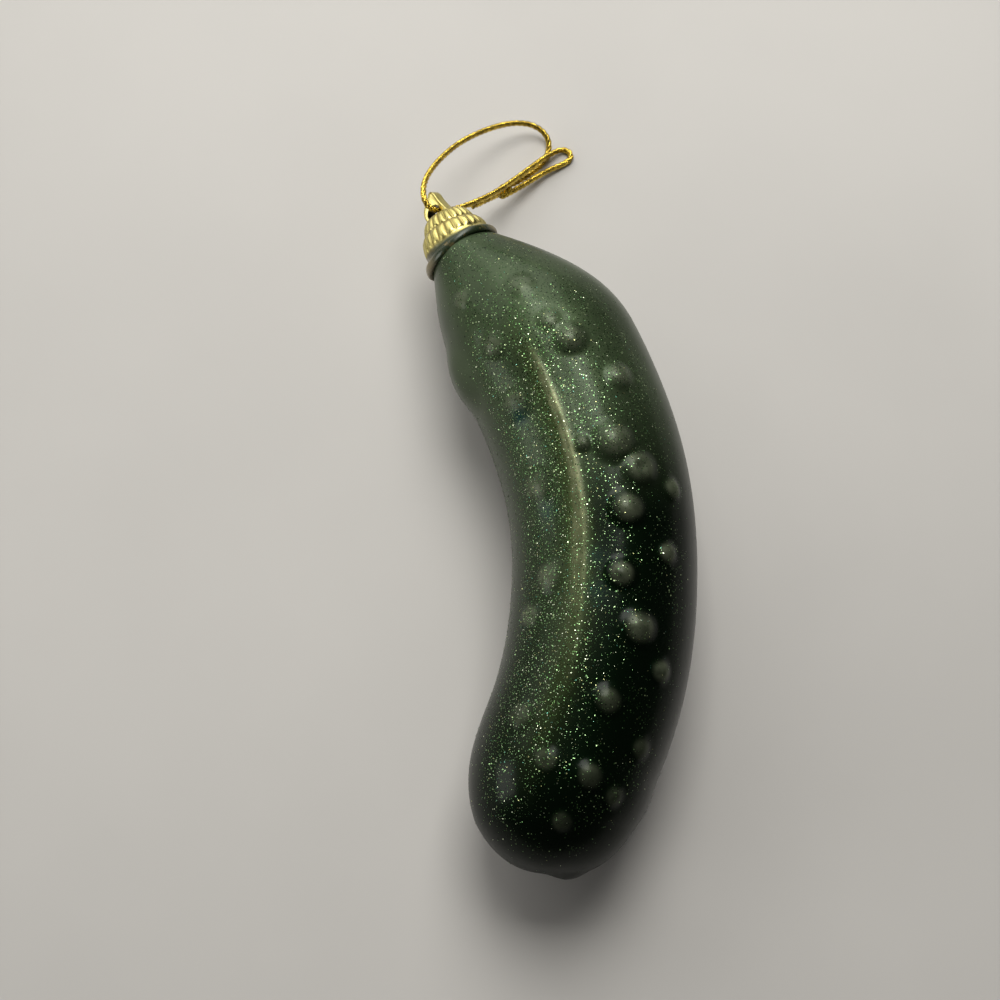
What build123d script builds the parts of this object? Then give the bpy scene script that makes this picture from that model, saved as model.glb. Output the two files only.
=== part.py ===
from build123d import *
import math
import os

# Pickle ornament: a hollow gherkin-shaped shell, a gold crown cap pushed over its neck,
# and a loop of gold cord through the tab of the cap.
# Millimetres, +Z up. The pickle lies on its side: the bend is in a level plane, the cap
# points to +Y. The origin is on the table, under the middle of the shell and cap.

# Shell: a round section carried along a bent, level spine that starts at the cap's seat
SEAT_X = -15.9
SEAT_Y = 46.5
BEND_RADIUS = 75.4
BEND_START = 46.7
BEND_END = -22.0
TIP_BEND_RADIUS = 45.0
TIP_HEADING = -4.0
TIP_RUN = 8.0
UPPER_RADIUS = 15.5
LOWER_RADIUS = 14.8
SHOULDER_LENGTH = 25.0
SHOULDER_LEDGE = 1.8
END_LENGTH = 17.5
END_PIP_ANGLE = 84.0
WALL = 1.0

# Neck of the shell, which the cap is pushed over
CAP_TILT = 25.0
NECK_RADIUS = 4.0
NECK_WALL = 0.9
NECK_HEIGHT = 3.6

# Moulded ridge and warts of the shell: where, how round and how high
RIDGE_TURN = -16.0
RIDGE_START = 22.0
RIDGE_END = 94.0
RIDGE_ROUND = 2.2
RIDGE_HEIGHT = 0.45
RIDGE_SINK = 0.5
WART_RISE = 0.19
UPPER_WART_WIDTH = 4.2
# Warts that face up: share of the body's length, degrees round from the top, size beside the width
UPPER_WARTS = [
    (0.240, 8, 1.10), (0.311, 27, 1.00), (0.398, 11, 1.29), (0.438, 23, 1.10), (0.492, 12, 1.10),
    (0.582, 7, 1.00), (0.650, 21, 1.05), (0.753, 12, 1.05), (0.860, 16, 1.00), (0.928, 4, 0.81),
    (0.465, 45, 0.86), (0.549, 37, 0.86), (0.696, 41, 0.90), (0.793, 43, 0.90),
    (0.131, 1, 0.90), (0.102, -42, 0.86), (0.197, -36, 0.95), (0.301, -42, 1.05), (0.392, -3, 0.52),
    (0.442, -41, 1.10), (0.586, -39, 1.05), (0.650, -51, 0.95), (0.803, -38, 0.95), (0.853, -12, 0.90),
]
# Warts that face down, in staggered rows; the pickle rests on the two rows at the foot turn
FOOT_TURN = 166.0
LOWER_WART_TURNS = [112, -112, -139, 139, FOOT_TURN, -FOOT_TURN]
LOWER_WART_START = 26.0
LOWER_WART_PITCH = 16.0
LOWER_WARTS_PER_ROW = 5
LOWER_WART_WIDTH = 4.2

# Crown cap, measured along its axis from its seat on the shell
CAP_FIT = 0.05
SEAT_GAP = 0.05
NECK_TOP_GAP = 0.3
CAP_WALL = 0.95
CAP_ROOF = 0.6
FLANGE_THICKNESS = 1.4
FLANGE_OVERHANG = 1.1
FLANGE_EDGE = 0.5
BAND_HEIGHT = 0.7
LOWER_TIER_FLARE = 0.9
UPPER_TIER_STEP = 0.45
UPPER_TIER_TAPER = 1.1
UPPER_TIER_HEIGHT = 2.5
RIB_COUNT = 22
RIB_HEIGHT = 0.28
CORE_WALL = 1.0
TAB_TURN = -45.0
TAB_THICKNESS = 2.0
TAB_BASE_WIDTH = 5.0
TAB_TIP_WIDTH = 1.7
TAB_HEIGHT = 5.2
TAB_HOLLOW = 0.35
HOLE_DIAMETER = 2.4
HOLE_HEIGHT = 1.5

# Cord: both stretches start in the middle of the tab's hole and end in the knot
CORD_DIAMETER = 1.0
KNOT_CENTRE = (-8.7, 62.5, 5.0)
KNOT_LENGTH = 3.8
KNOT_WIDTH = 2.8
KNOT_HEADING = 48.0
FRONT_ROUTE = [
    (-20.5, 53.7, 17.0), (-21.4, 53.9, 17.7), (-22.1, 54.7, 18.1), (-22.5, 56.3, 18.1),
    (-22.4, 58.7, 17.2), (-21.4, 61.8, 15.5), (-19.5, 65.4, 13.1), (-16.6, 69.5, 10.1),
    (-12.6, 73.0, 7.4), (-8.3, 75.6, 5.0), (-5.0, 76.5, 3.5), (-2.5, 76.2, 2.4),
    (-0.9, 75.0, 1.6), (-0.3, 73.4, 0.9), (-0.8, 71.8, 0.6), (-1.9, 70.1, 0.6),
    (-3.7, 68.3, 1.4), (-6.1, 66.0, 3.1), (-8.0, 64.0, 4.8), (-9.0, 63.1, 5.4),
]
BACK_ROUTE = [
    (-18.5, 54.6, 14.8), (-16.8, 55.5, 13.5), (-13.6, 57.6, 11.5), (-9.9, 60.6, 9.0),
    (-6.5, 64.4, 6.1), (-3.3, 68.1, 3.5), (-0.9, 70.6, 2.0), (0.8, 71.9, 1.2),
    (1.7, 72.4, 0.8), (2.4, 72.5, 0.6), (3.0, 72.3, 0.6), (3.5, 71.8, 0.6), (3.6, 71.1, 0.6),
    (3.3, 70.5, 0.6), (2.6, 70.0, 0.6), (1.6, 69.4, 0.7), (-0.3, 68.4, 1.1), (-2.6, 66.7, 1.9),
    (-5.2, 64.4, 3.2), (-7.1, 62.8, 4.2), (-8.2, 62.0, 4.6),
]
TAIL_ROUTES = [
    [(-9.4, 61.7, 5.4), (-10.3, 60.4, 6.7), (-11.6, 58.9, 8.2), (-13.1, 57.3, 9.5), (-14.2, 56.0, 10.2)],
    [(-9.8, 62.6, 4.9), (-11.0, 61.6, 5.6), (-12.1, 60.3, 6.5), (-13.0, 58.9, 7.5)],
]
ARC_SHARE = 0.45


def wart_dome(width):
    """Height of a wart above the skin, and the radius of the ball that it is part of."""
    height = width * WART_RISE
    return height, (width**2 / 4 + height**2) / (2 * height)


def heading_vector(degrees):
    """Level direction that is this far to the right of straight down the body."""
    angle = math.radians(degrees)
    return Vector(math.sin(angle), -math.cos(angle), 0)


# Height of the spine, with the balls of the foot warts on the table
foot_height, foot_ball = wart_dome(LOWER_WART_WIDTH)
foot_slant = math.cos(math.radians(180 - FOOT_TURN))
axis_height = (UPPER_RADIUS + foot_height - foot_ball) * foot_slant + foot_ball

# Frame of the cap: its Z is the axis of the cap, its X points up
seat = Vector(SEAT_X, SEAT_Y, axis_height)
cap_plane = Plane(origin=seat, x_dir=(0, 0, 1), z_dir=heading_vector(CAP_TILT) * -1)

# Spine of the shell: one long bend, then a shorter bend back to the tip
main_bend = JernArc(
    start=seat,
    tangent=heading_vector(BEND_START),
    radius=BEND_RADIUS,
    arc_size=BEND_END - BEND_START,
)
tip_bend = JernArc(
    start=main_bend @ 1,
    tangent=main_bend % 1,
    radius=TIP_BEND_RADIUS,
    arc_size=TIP_HEADING - BEND_END,
)
tip_run = Line(tip_bend @ 1, (tip_bend @ 1) + (tip_bend % 1) * TIP_RUN)
body_length = main_bend.length + tip_bend.length + TIP_RUN
end_start = body_length - END_LENGTH
shoulder_radius = NECK_RADIUS + SHOULDER_LEDGE


def spine_at(distance):
    """Point and heading of the spine, the heading held back near the neck to the cap's tilt."""
    if distance <= main_bend.length:
        share = distance / main_bend.length
        degrees = BEND_START + (BEND_END - BEND_START) * share
        return main_bend @ share, heading_vector(min(degrees, CAP_TILT))
    distance -= main_bend.length
    if distance <= tip_bend.length:
        share = distance / tip_bend.length
        return tip_bend @ share, heading_vector(BEND_END + (TIP_HEADING - BEND_END) * share)
    share = (distance - tip_bend.length) / TIP_RUN
    return tip_run @ share, heading_vector(TIP_HEADING)


def body_radius(distance):
    """Radius of the shell's outside, from the neck's ledge to the round end."""
    if distance < SHOULDER_LENGTH:
        rise = math.sin(math.radians(90) * distance / SHOULDER_LENGTH)
        return shoulder_radius + (UPPER_RADIUS - shoulder_radius) * rise
    if distance < end_start:
        share = (distance - SHOULDER_LENGTH) / (end_start - SHOULDER_LENGTH)
        return UPPER_RADIUS + (LOWER_RADIUS - UPPER_RADIUS) * share
    return LOWER_RADIUS * math.sqrt(1 - ((distance - end_start) / END_LENGTH) ** 2)


def body_plane(distance):
    """Plane across the shell: X points down, Y to the outside of the bend."""
    point, heading = spine_at(distance)
    return Plane(origin=point, x_dir=(0, 0, -1), z_dir=heading)


def body_point(distance, turn, depth):
    """Point this deep under the skin, turned from the top of the shell to the outside of the bend."""
    reach = body_radius(distance) - depth
    angle = math.radians(turn)
    return body_plane(distance).from_local_coords((-reach * math.cos(angle), reach * math.sin(angle), 0))


def body_loft(inset):
    """Closed solid inside the skin by the inset."""
    shoulder_steps = 6
    barrel_steps = 6
    end_steps = 6
    stations = []
    for step in range(shoulder_steps):
        distance = inset + (SHOULDER_LENGTH - inset) * step / shoulder_steps
        stations.append((distance, body_radius(distance) - inset))
    for step in range(barrel_steps + 1):
        distance = SHOULDER_LENGTH + (end_start - SHOULDER_LENGTH) * step / barrel_steps
        stations.append((distance, body_radius(distance) - inset))
    for step in range(1, end_steps + 1):
        angle = math.radians(END_PIP_ANGLE * step / end_steps)
        distance = end_start + (END_LENGTH - inset) * math.sin(angle)
        stations.append((distance, (LOWER_RADIUS - inset) * math.cos(angle)))
    return loft([body_plane(distance) * Circle(radius) for distance, radius in stations])


def ridge():
    """Long low rib along the shell, which sinks into the skin at both ends."""
    steps = 8
    sections = []
    for step in range(steps + 1):
        share = step / steps
        distance = RIDGE_START + (RIDGE_END - RIDGE_START) * share
        height = (RIDGE_HEIGHT + RIDGE_SINK) * math.sin(math.pi * share) ** 0.5 - RIDGE_SINK
        _, heading = spine_at(distance)
        centre = body_point(distance, RIDGE_TURN, RIDGE_ROUND - height)
        sections.append(Plane(origin=centre, x_dir=(0, 0, 1), z_dir=heading) * Circle(RIDGE_ROUND))
    return loft(sections)


def wart(distance, turn, width):
    """Ball sunk into the skin, poles and seam inside, so that a low dome of this width stands out."""
    height, ball_radius = wart_dome(width)
    centre = body_point(distance, turn, ball_radius - height)
    spine_point, heading = spine_at(distance)
    return Plane(origin=centre, x_dir=spine_point - centre, z_dir=heading) * Sphere(ball_radius)


def pickle_shell():
    """Hollow shell with its ridge, warts and open neck."""
    warts = [wart(body_length * share, turn, UPPER_WART_WIDTH * size) for share, turn, size in UPPER_WARTS]
    for row, turn in enumerate(LOWER_WART_TURNS):
        first = LOWER_WART_START + LOWER_WART_PITCH / 2 * (row % 2)
        for count in range(LOWER_WARTS_PER_ROW):
            warts.append(wart(first + LOWER_WART_PITCH * count, turn, LOWER_WART_WIDTH))
    neck = cap_plane * Pos(0, 0, -WALL) * Cylinder(
        NECK_RADIUS, WALL + NECK_HEIGHT, align=(Align.CENTER, Align.CENTER, Align.MIN)
    )
    bore = cap_plane * Pos(0, 0, -2 * WALL) * Cylinder(
        NECK_RADIUS - NECK_WALL, 3 * WALL + NECK_HEIGHT, align=(Align.CENTER, Align.CENTER, Align.MIN)
    )
    shell = body_loft(0) + neck + ridge()
    for dome in warts:
        shell += dome
    return shell - body_loft(WALL) - bore


# Heights and radii of the cap, from the neck outwards
bore_radius = NECK_RADIUS + CAP_FIT
bore_top = NECK_HEIGHT + NECK_TOP_GAP
lower_tier_base = FLANGE_THICKNESS + BAND_HEIGHT
lower_tier_top = bore_top + CAP_ROOF
upper_tier_top = lower_tier_top + UPPER_TIER_HEIGHT
lower_top_radius = bore_radius + CAP_WALL
lower_base_radius = lower_top_radius + LOWER_TIER_FLARE
upper_base_radius = lower_top_radius - UPPER_TIER_STEP
upper_top_radius = upper_base_radius - UPPER_TIER_TAPER
flange_radius = lower_base_radius + FLANGE_OVERHANG
hole_centre = cap_plane.from_local_coords((0, 0, upper_tier_top + HOLE_HEIGHT))
hole_axis = cap_plane.x_dir.rotate(Axis((0, 0, 0), cap_plane.z_dir), TAB_TURN)


def fluted_face(radius, first_turn):
    """Ring of outward arcs, one for each rib."""
    pitch = 360 / RIB_COUNT
    arcs = []
    for rib in range(RIB_COUNT):
        turn = first_turn + pitch * rib
        start = Vector(radius, 0).rotate(Axis.Z, turn)
        crest = Vector(radius + RIB_HEIGHT, 0).rotate(Axis.Z, turn + pitch / 2)
        end = Vector(radius, 0).rotate(Axis.Z, turn + pitch)
        arcs.append(ThreePointArc(start, crest, end))
    return make_face(arcs)


def fluted_tier(base, base_radius, top, top_radius, first_turn):
    """Tapered ring of ribs between two heights."""
    lower_face = Pos(0, 0, base) * fluted_face(base_radius, first_turn)
    upper_face = Pos(0, 0, top) * fluted_face(top_radius, first_turn)
    return loft([lower_face, upper_face], ruled=True)


def tab():
    """Arch-shaped plate with hollowed sides and a round tip, rooted in the upper tier."""
    root = upper_tier_top - CAP_ROOF
    tip_round = TAB_TIP_WIDTH / 2
    top = upper_tier_top + TAB_HEIGHT
    base_half = TAB_BASE_WIDTH / 2
    middle_half = (base_half + tip_round) / 2 - TAB_HOLLOW
    middle = (upper_tier_top + top - tip_round) / 2
    left_side = ThreePointArc((-base_half, upper_tier_top), (-middle_half, middle), (-tip_round, top - tip_round))
    tip = ThreePointArc((-tip_round, top - tip_round), (0, top), (tip_round, top - tip_round))
    right_side = ThreePointArc((tip_round, top - tip_round), (middle_half, middle), (base_half, upper_tier_top))
    foot = Polyline(
        (base_half, upper_tier_top), (base_half, root), (-base_half, root), (-base_half, upper_tier_top)
    )
    face = Plane.YZ * make_face([left_side, tip, right_side, foot])
    plate = extrude(face, TAB_THICKNESS / 2, both=True)
    hole = Pos(0, 0, upper_tier_top + HOLE_HEIGHT) * Rot(0, 90, 0) * Cylinder(
        HOLE_DIAMETER / 2, TAB_THICKNESS * 2
    )
    return Rot(0, 0, TAB_TURN) * (plate - hole)


def crown_cap():
    """Hollow cap: flange, plain band, two fluted tiers and the holed tab."""
    on_base = (Align.CENTER, Align.CENTER, Align.MIN)
    half_pitch = 180 / RIB_COUNT
    flange = Cylinder(flange_radius, FLANGE_THICKNESS - SEAT_GAP, align=on_base)
    flange = Pos(0, 0, SEAT_GAP) * fillet(flange.edges(), FLANGE_EDGE)
    band_foot = FLANGE_THICKNESS - FLANGE_EDGE
    band = Pos(0, 0, band_foot) * Cone(
        flange_radius - FLANGE_EDGE, lower_base_radius, lower_tier_base - band_foot, align=on_base
    )
    lower = fluted_tier(lower_tier_base, lower_base_radius, lower_tier_top, lower_top_radius, 0)
    upper = fluted_tier(lower_tier_top, upper_base_radius, upper_tier_top, upper_top_radius, half_pitch)
    bore = Cylinder(bore_radius, bore_top, align=on_base)
    core = Cylinder(upper_top_radius - CORE_WALL, upper_tier_top - CORE_WALL, align=on_base)
    return cap_plane * (flange + [band, lower, upper, tab()] - [bore, core])


def corner_radii(route):
    """Radius at each corner: as large as its shorter run allows."""
    radii = []
    for before, corner, after in zip(route, route[1:], route[2:]):
        arriving = Vector(*corner) - Vector(*before)
        leaving = Vector(*after) - Vector(*corner)
        half_turn = math.radians(arriving.get_angle(leaving) / 2)
        radii.append(ARC_SHARE * min(arriving.length, leaving.length) / math.tan(half_turn))
    return radii


def cord_tube(name, route):
    """Round cord along straight runs joined by arcs; prints its bends and volume."""
    radii = corner_radii(route)
    path = FilletPolyline(*route, radius=radii)
    section = Plane(origin=path @ 0, z_dir=path % 0) * Circle(CORD_DIAMETER / 2)
    tube = sweep(section, path=path)
    plain_volume = math.pi * CORD_DIAMETER**2 / 4 * path.length
    print(name, "bend radii", [round(radius, 1) for radius in radii])
    print(name, "length", round(path.length, 1), "volume", round(tube.volume, 2), "of", round(plain_volume, 2))
    return tube


def cord_knot():
    """Bead of the size of the pulled-up knot, long along the doubled cord."""
    bead = scale(Sphere(0.5), by=(KNOT_LENGTH, KNOT_WIDTH, KNOT_WIDTH))
    return Pos(*KNOT_CENTRE) * Rot(0, 0, KNOT_HEADING) * bead


hole_start = tuple(hole_centre)
nodes = {
    "pickle_shell": pickle_shell(),
    "crown_cap": crown_cap(),
    "cord_front": cord_tube("cord_front", [hole_start] + FRONT_ROUTE),
    "cord_back": cord_tube("cord_back", [hole_start] + BACK_ROUTE),
    "cord_knot": cord_knot(),
    "cord_tails": Compound(children=[cord_tube("cord_tail", route) for route in TAIL_ROUTES]),
}

os.makedirs("parts", exist_ok=True)
for node, shape in nodes.items():
    export_step(shape, f"parts/{node}.step")

print("hole centre", hole_centre, "hole axis", hole_axis, "cap axis", cap_plane.z_dir)
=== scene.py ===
"""Looks of the pickle ornament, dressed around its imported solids.

Metres, +Z up from the table that the pickle lies on, +Y to the cap, +X to the outside of the bend.
"""

import logging
import math
from dataclasses import dataclass, field
from enum import Enum

import bmesh
import bpy
import numpy as np
from mathutils import Matrix, Vector


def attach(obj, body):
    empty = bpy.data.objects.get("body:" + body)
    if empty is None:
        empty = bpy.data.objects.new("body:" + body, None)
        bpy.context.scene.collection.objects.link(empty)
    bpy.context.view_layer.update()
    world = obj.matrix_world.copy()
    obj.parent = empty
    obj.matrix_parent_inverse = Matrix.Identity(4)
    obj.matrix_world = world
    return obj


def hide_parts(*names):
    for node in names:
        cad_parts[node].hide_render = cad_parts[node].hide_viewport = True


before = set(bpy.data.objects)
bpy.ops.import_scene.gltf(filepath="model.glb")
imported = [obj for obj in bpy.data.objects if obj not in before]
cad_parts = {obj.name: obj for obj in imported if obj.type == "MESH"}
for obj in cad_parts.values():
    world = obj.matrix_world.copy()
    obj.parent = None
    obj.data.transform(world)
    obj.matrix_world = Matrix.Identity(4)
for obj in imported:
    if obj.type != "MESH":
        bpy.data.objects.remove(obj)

LOG = logging.getLogger("pickle_ornament")
MM = 0.001
POLE_MERGE = 0.002 * MM
SEAM_MERGE = 0.001 * MM
FLAKE_MERGE = 0.01
LINE_RESOLUTION = 10
LEAST_SPANS = 4
STEEP_LINE = 0.1

Socket = bpy.types.NodeSocket
Colour = tuple[float, float, float]
Point = tuple[float, float, float]
Pair = tuple[float, float]


class Body(Enum):
    """Moving bodies of the ornament."""

    PICKLE = "pickle"
    CAP = "cap"
    HANGER = "hanger"


class Slot(Enum):
    """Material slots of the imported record."""

    LACQUER = "green_lacquer"
    GOLD = "gold_cap"
    CORD = "gold_cord"


class WartKind(Enum):
    """Shape of a wart's top."""

    DOME = "dome"
    DIMPLED = "dimpled"
    POINTED = "pointed"
    SUNK = "sunk"
    SWELLING = "swelling"


@dataclass(frozen=True)
class Cloud:
    """Soft noise in a finish: blob size, detail, the range of noise that counts, and the strengths there."""

    size: float
    detail: float
    low: float
    high: float
    weak: float = 0.0
    strong: float = 1.0


@dataclass(frozen=True)
class Grit:
    """Fine unevenness of a finish: blob size, detail, strength and depth."""

    size: float
    detail: float
    strength: float
    depth: float


class Shader:
    """Node tree of one material, built around a Principled surface."""

    def __init__(self, name: str) -> None:
        """Makes the material with its surface joined to the output.

        Args:
            name: Name of the material.
        """
        self.material = bpy.data.materials.new(name)
        self.material.use_nodes = True
        self.tree = self.material.node_tree
        self.tree.nodes.clear()
        output = self.tree.nodes.new("ShaderNodeOutputMaterial")
        self.surface = self.tree.nodes.new("ShaderNodeBsdfPrincipled")
        self.tree.links.new(self.surface.outputs["BSDF"], output.inputs["Surface"])

    def feed(self, socket: Socket, value: object) -> None:
        """Links a socket to the input, or sets the input's own value.

        Args:
            socket: Input to feed.
            value: A socket, a number, a vector or a colour.
        """
        if isinstance(value, Socket):
            self.tree.links.new(value, socket)
        elif socket.type == "RGBA":
            socket.default_value = (*value, 1.0)
        else:
            socket.default_value = value

    def node(self, kind: str, inputs: dict | None = None, **settings: object) -> bpy.types.Node:
        """Adds a node.

        Args:
            kind: Node type without its ShaderNode prefix.
            inputs: Values or sockets, by input name or number.
            settings: Properties of the node.

        Returns:
            The new node.
        """
        made = self.tree.nodes.new("ShaderNode" + kind)
        for name, value in settings.items():
            setattr(made, name, value)
        for name, value in (inputs or {}).items():
            self.feed(made.inputs[name], value)
        return made

    def set(self, **inputs: object) -> None:
        """Feeds the Principled surface, with underscores for the spaces of its input names."""
        for name, value in inputs.items():
            self.feed(self.surface.inputs[name.replace("_", " ")], value)

    def place(self) -> Socket:
        """Object coordinates."""
        return self.node("TexCoord").outputs["Object"]

    def attribute(self, name: str) -> Socket:
        """Strength of a surface attribute."""
        return self.node("Attribute", attribute_name=name).outputs["Fac"]

    def math(self, operation: str, first: object, second: object = 0.0) -> Socket:
        """One sum of two numbers."""
        return self.node("Math", {0: first, 1: second}, operation=operation).outputs[0]

    def vector(self, operation: str, first: object, second: object = (0.0, 0.0, 0.0)) -> Socket:
        """One sum of two vectors."""
        return self.node("VectorMath", {0: first, 1: second}, operation=operation).outputs[0]

    def scaled(self, vector: Socket, factor: float) -> Socket:
        """A vector made longer or shorter."""
        return self.node("VectorMath", {0: vector, "Scale": factor}, operation="SCALE").outputs[0]

    def mix(self, share: object, first: object, second: object) -> Socket:
        """Colour between two colours.

        Args:
            share: How much of the second colour, from 0 to 1.
            first: Colour at 0.
            second: Colour at 1.

        Returns:
            The mixed colour.
        """
        made = self.node("Mix", data_type="RGBA")
        for index, value in ((0, share), (6, first), (7, second)):
            self.feed(made.inputs[index], value)
        return made.outputs[2]

    def blend_vector(self, share: object, first: Socket, second: Socket) -> Socket:
        """Vector between two vectors.

        Args:
            share: How much of the second vector, from 0 to 1.
            first: Vector at 0.
            second: Vector at 1.

        Returns:
            The mixed vector.
        """
        made = self.node("Mix", data_type="VECTOR")
        for index, value in ((0, share), (4, first), (5, second)):
            self.feed(made.inputs[index], value)
        return made.outputs[1]

    def noise(self, place: Socket, size: float, detail: float) -> Socket:
        """Soft noise from 0 to 1 with blobs of this size in metres."""
        return self.node("TexNoise", {"Vector": place, "Scale": 1.0 / size, "Detail": detail}).outputs[0]

    def span(self, value: Socket, low: float, high: float, weak: float = 0.0, strong: float = 1.0) -> Socket:
        """Smooth step of a value from one range to another."""
        inputs = {"Value": value, "From Min": low, "From Max": high, "To Min": weak, "To Max": strong}
        return self.node("MapRange", inputs, interpolation_type="SMOOTHSTEP").outputs[0]

    def cloud(self, place: Socket, cloud: Cloud) -> Socket:
        """Strength of a cloudy pattern."""
        blobs = self.noise(place, cloud.size, cloud.detail)
        return self.span(blobs, cloud.low, cloud.high, cloud.weak, cloud.strong)

    def ramp(self, value: Socket, stops: tuple[tuple[float, Colour], ...]) -> Socket:
        """Colour ramp.

        Args:
            value: Place on the ramp, from 0 to 1.
            stops: Positions with their colours.

        Returns:
            The colour.
        """
        made = self.node("ValToRGB", {"Fac": value})
        elements = made.color_ramp.elements
        while len(elements) < len(stops):
            elements.new(1.0)
        for element, (position, colour) in zip(elements, stops):
            element.position = position
            element.color = (*colour, 1.0)
        return made.outputs["Color"]

    def bump(self, height: Socket, strength: float, depth: float) -> Socket:
        """Normal bent by a height map of this depth in metres."""
        inputs = {"Height": height, "Strength": strength, "Distance": depth}
        return self.node("Bump", inputs).outputs["Normal"]

    def grit(self, place: Socket, grit: Grit) -> Socket:
        """Normal bent by fine unevenness."""
        return self.bump(self.noise(place, grit.size, grit.detail), grit.strength, grit.depth)


@dataclass(frozen=True)
class LacquerFinish:
    """Dark green metallic lacquer full of fine glitter, under a thin clear coat."""

    # painted shade: the lacquer's green runs from middle, where the light falls, to near-black deep, where it
    # falls off
    deep: Colour = (0.0012, 0.0050, 0.0014)
    middle: Colour = (0.0520, 0.0760, 0.0370)
    # pale wart tops: partly the warts' own paler paint, partly a painted highlight on tops that face the
    # light
    olive: Colour = (0.095, 0.110, 0.070)
    wart_metal: float = 0.40
    ridge_gold: Colour = (0.210, 0.225, 0.120)
    ridge_flank: Colour = (0.046, 0.064, 0.020)
    teal: Colour = (0.006, 0.040, 0.038)
    pinhole: Colour = (0.002, 0.006, 0.003)
    clouds: Cloud = Cloud(9 * MM, 4.0, 0.30, 0.70, 0.75)
    blotches: Cloud = Cloud(2.2 * MM, 3.0, 0.25, 0.65, 0.35, 0.9)
    wear: Cloud = Cloud(3 * MM, 4.0, 0.3, 0.7, 0.35)
    pinholes: Cloud = Cloud(0.9 * MM, 1.0, 0.26, 0.20, 0.0, 0.8)
    grain: tuple[tuple[float, Colour], ...] = (
        (0.0, (0.003, 0.012, 0.003)),
        (0.55, (0.014, 0.040, 0.010)),
        (0.88, (0.070, 0.130, 0.045)),
        (1.0, (0.30, 0.38, 0.20)),
    )
    cell: float = 0.26 * MM
    cell_fill: float = 0.42
    cell_lean: float = 0.8
    cell_middle: Colour = (0.5, 0.5, 0.5)
    clumps: Cloud = Cloud(5 * MM, 3.0, 0.30, 0.70, 0.80, 0.45)
    sparse_shades: Pair = (0.25, 0.95)
    sparseness: float = 0.30
    bare_ridge: float = 0.35
    ripple: Grit = Grit(0.7 * MM, 3.0, 0.30, 0.05 * MM)
    metal: float = 0.62
    roughness: float = 0.48
    grain_roughness: float = 0.30
    coat: float = 0.22
    side_coat: float = 0.50
    coat_roughness: float = 0.20
    coat_ior: float = 1.45
    coat_ripple: Grit = Grit(1.6 * MM, 3.0, 0.25, 0.06 * MM)

    def ground(self, shader: Shader, place: Socket, ridge: Socket) -> Socket:
        """Colour of the lacquer between its grains.

        Args:
            shader: Material that gets the nodes.
            place: Object coordinates.
            ridge: Strength of the ridge's crest.

        Returns:
            The colour, from the painted shade, flank, wart, ridge and teal attributes; the painted shade
            darkens the green towards the end and past the ridge.
        """
        # painted shade: darker green towards the end and on the outside past the ridge
        shade = shader.math("MULTIPLY", shader.attribute("shade"), shader.cloud(place, self.clouds))
        colour = shader.mix(shade, self.deep, self.middle)
        colour = shader.mix(shader.attribute("flank"), colour, self.ridge_flank)
        wart = shader.math("MULTIPLY", shader.attribute("wart"), shader.cloud(place, self.blotches))
        # pale wart tops: partly own paint, partly painted highlight
        colour = shader.mix(wart, colour, self.olive)
        # the pale crest with random wear; its fading towards the end is painted shade
        worn = shader.math("MULTIPLY", ridge, shader.cloud(place, self.wear))
        colour = shader.mix(worn, colour, self.ridge_gold)
        colour = shader.mix(shader.attribute("teal"), colour, self.teal)
        return shader.mix(shader.cloud(place, self.pinholes), colour, self.pinhole)

    def material(self) -> bpy.types.Material:
        """Builds the lacquer: the ground, fine random grains of glitter in it, and the clear coat.

        Returns:
            The material.
        """
        shader = Shader("green_lacquer")
        place = shader.place()
        ridge = shader.attribute("ridge")
        cells = shader.node("TexVoronoi", {"Vector": place, "Scale": 1.0 / self.cell})
        chance = shader.node("SeparateColor", {"Color": cells.outputs["Color"]})
        # painted shade: fewer lit grains where the painted shade is dark, and on the steep sides
        dark = shader.span(shader.attribute("shade"), *self.sparse_shades, self.sparseness, 0.0)
        sparse = shader.math("MAXIMUM", dark, shader.attribute("side"))
        limit = shader.math("ADD", shader.cloud(place, self.clumps), sparse)
        lit = shader.math("GREATER_THAN", chance.outputs[0], limit)
        inside = shader.math("LESS_THAN", cells.outputs["Distance"], self.cell_fill)
        bare = shader.math("GREATER_THAN", self.bare_ridge, ridge)
        flake = shader.math("MULTIPLY", shader.math("MULTIPLY", lit, inside), bare)
        aside = shader.vector("SUBTRACT", cells.outputs["Color"], self.cell_middle)
        normal = shader.node("NewGeometry").outputs["Normal"]
        lean = shader.scaled(aside, self.cell_lean)
        tilted = shader.vector("NORMALIZE", shader.vector("ADD", normal, lean))
        grains = shader.ramp(chance.outputs[1], self.grain)
        shader.set(
            Base_Color=shader.mix(flake, self.ground(shader, place, ridge), grains),
            Metallic=shader.span(shader.attribute("wart"), 0.0, 1.0, self.metal, self.wart_metal),
            Roughness=shader.span(flake, 0.0, 1.0, self.roughness, self.grain_roughness),
            Normal=shader.blend_vector(flake, shader.grit(place, self.ripple), tilted),
            Specular_IOR_Level=0.0,
            Coat_Weight=shader.span(shader.attribute("gloss"), 0.0, 1.0, self.coat, self.side_coat),
            Coat_Roughness=self.coat_roughness,
            Coat_IOR=self.coat_ior,
            Coat_Normal=shader.grit(place, self.coat_ripple),
        )
        return shader.material


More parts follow.
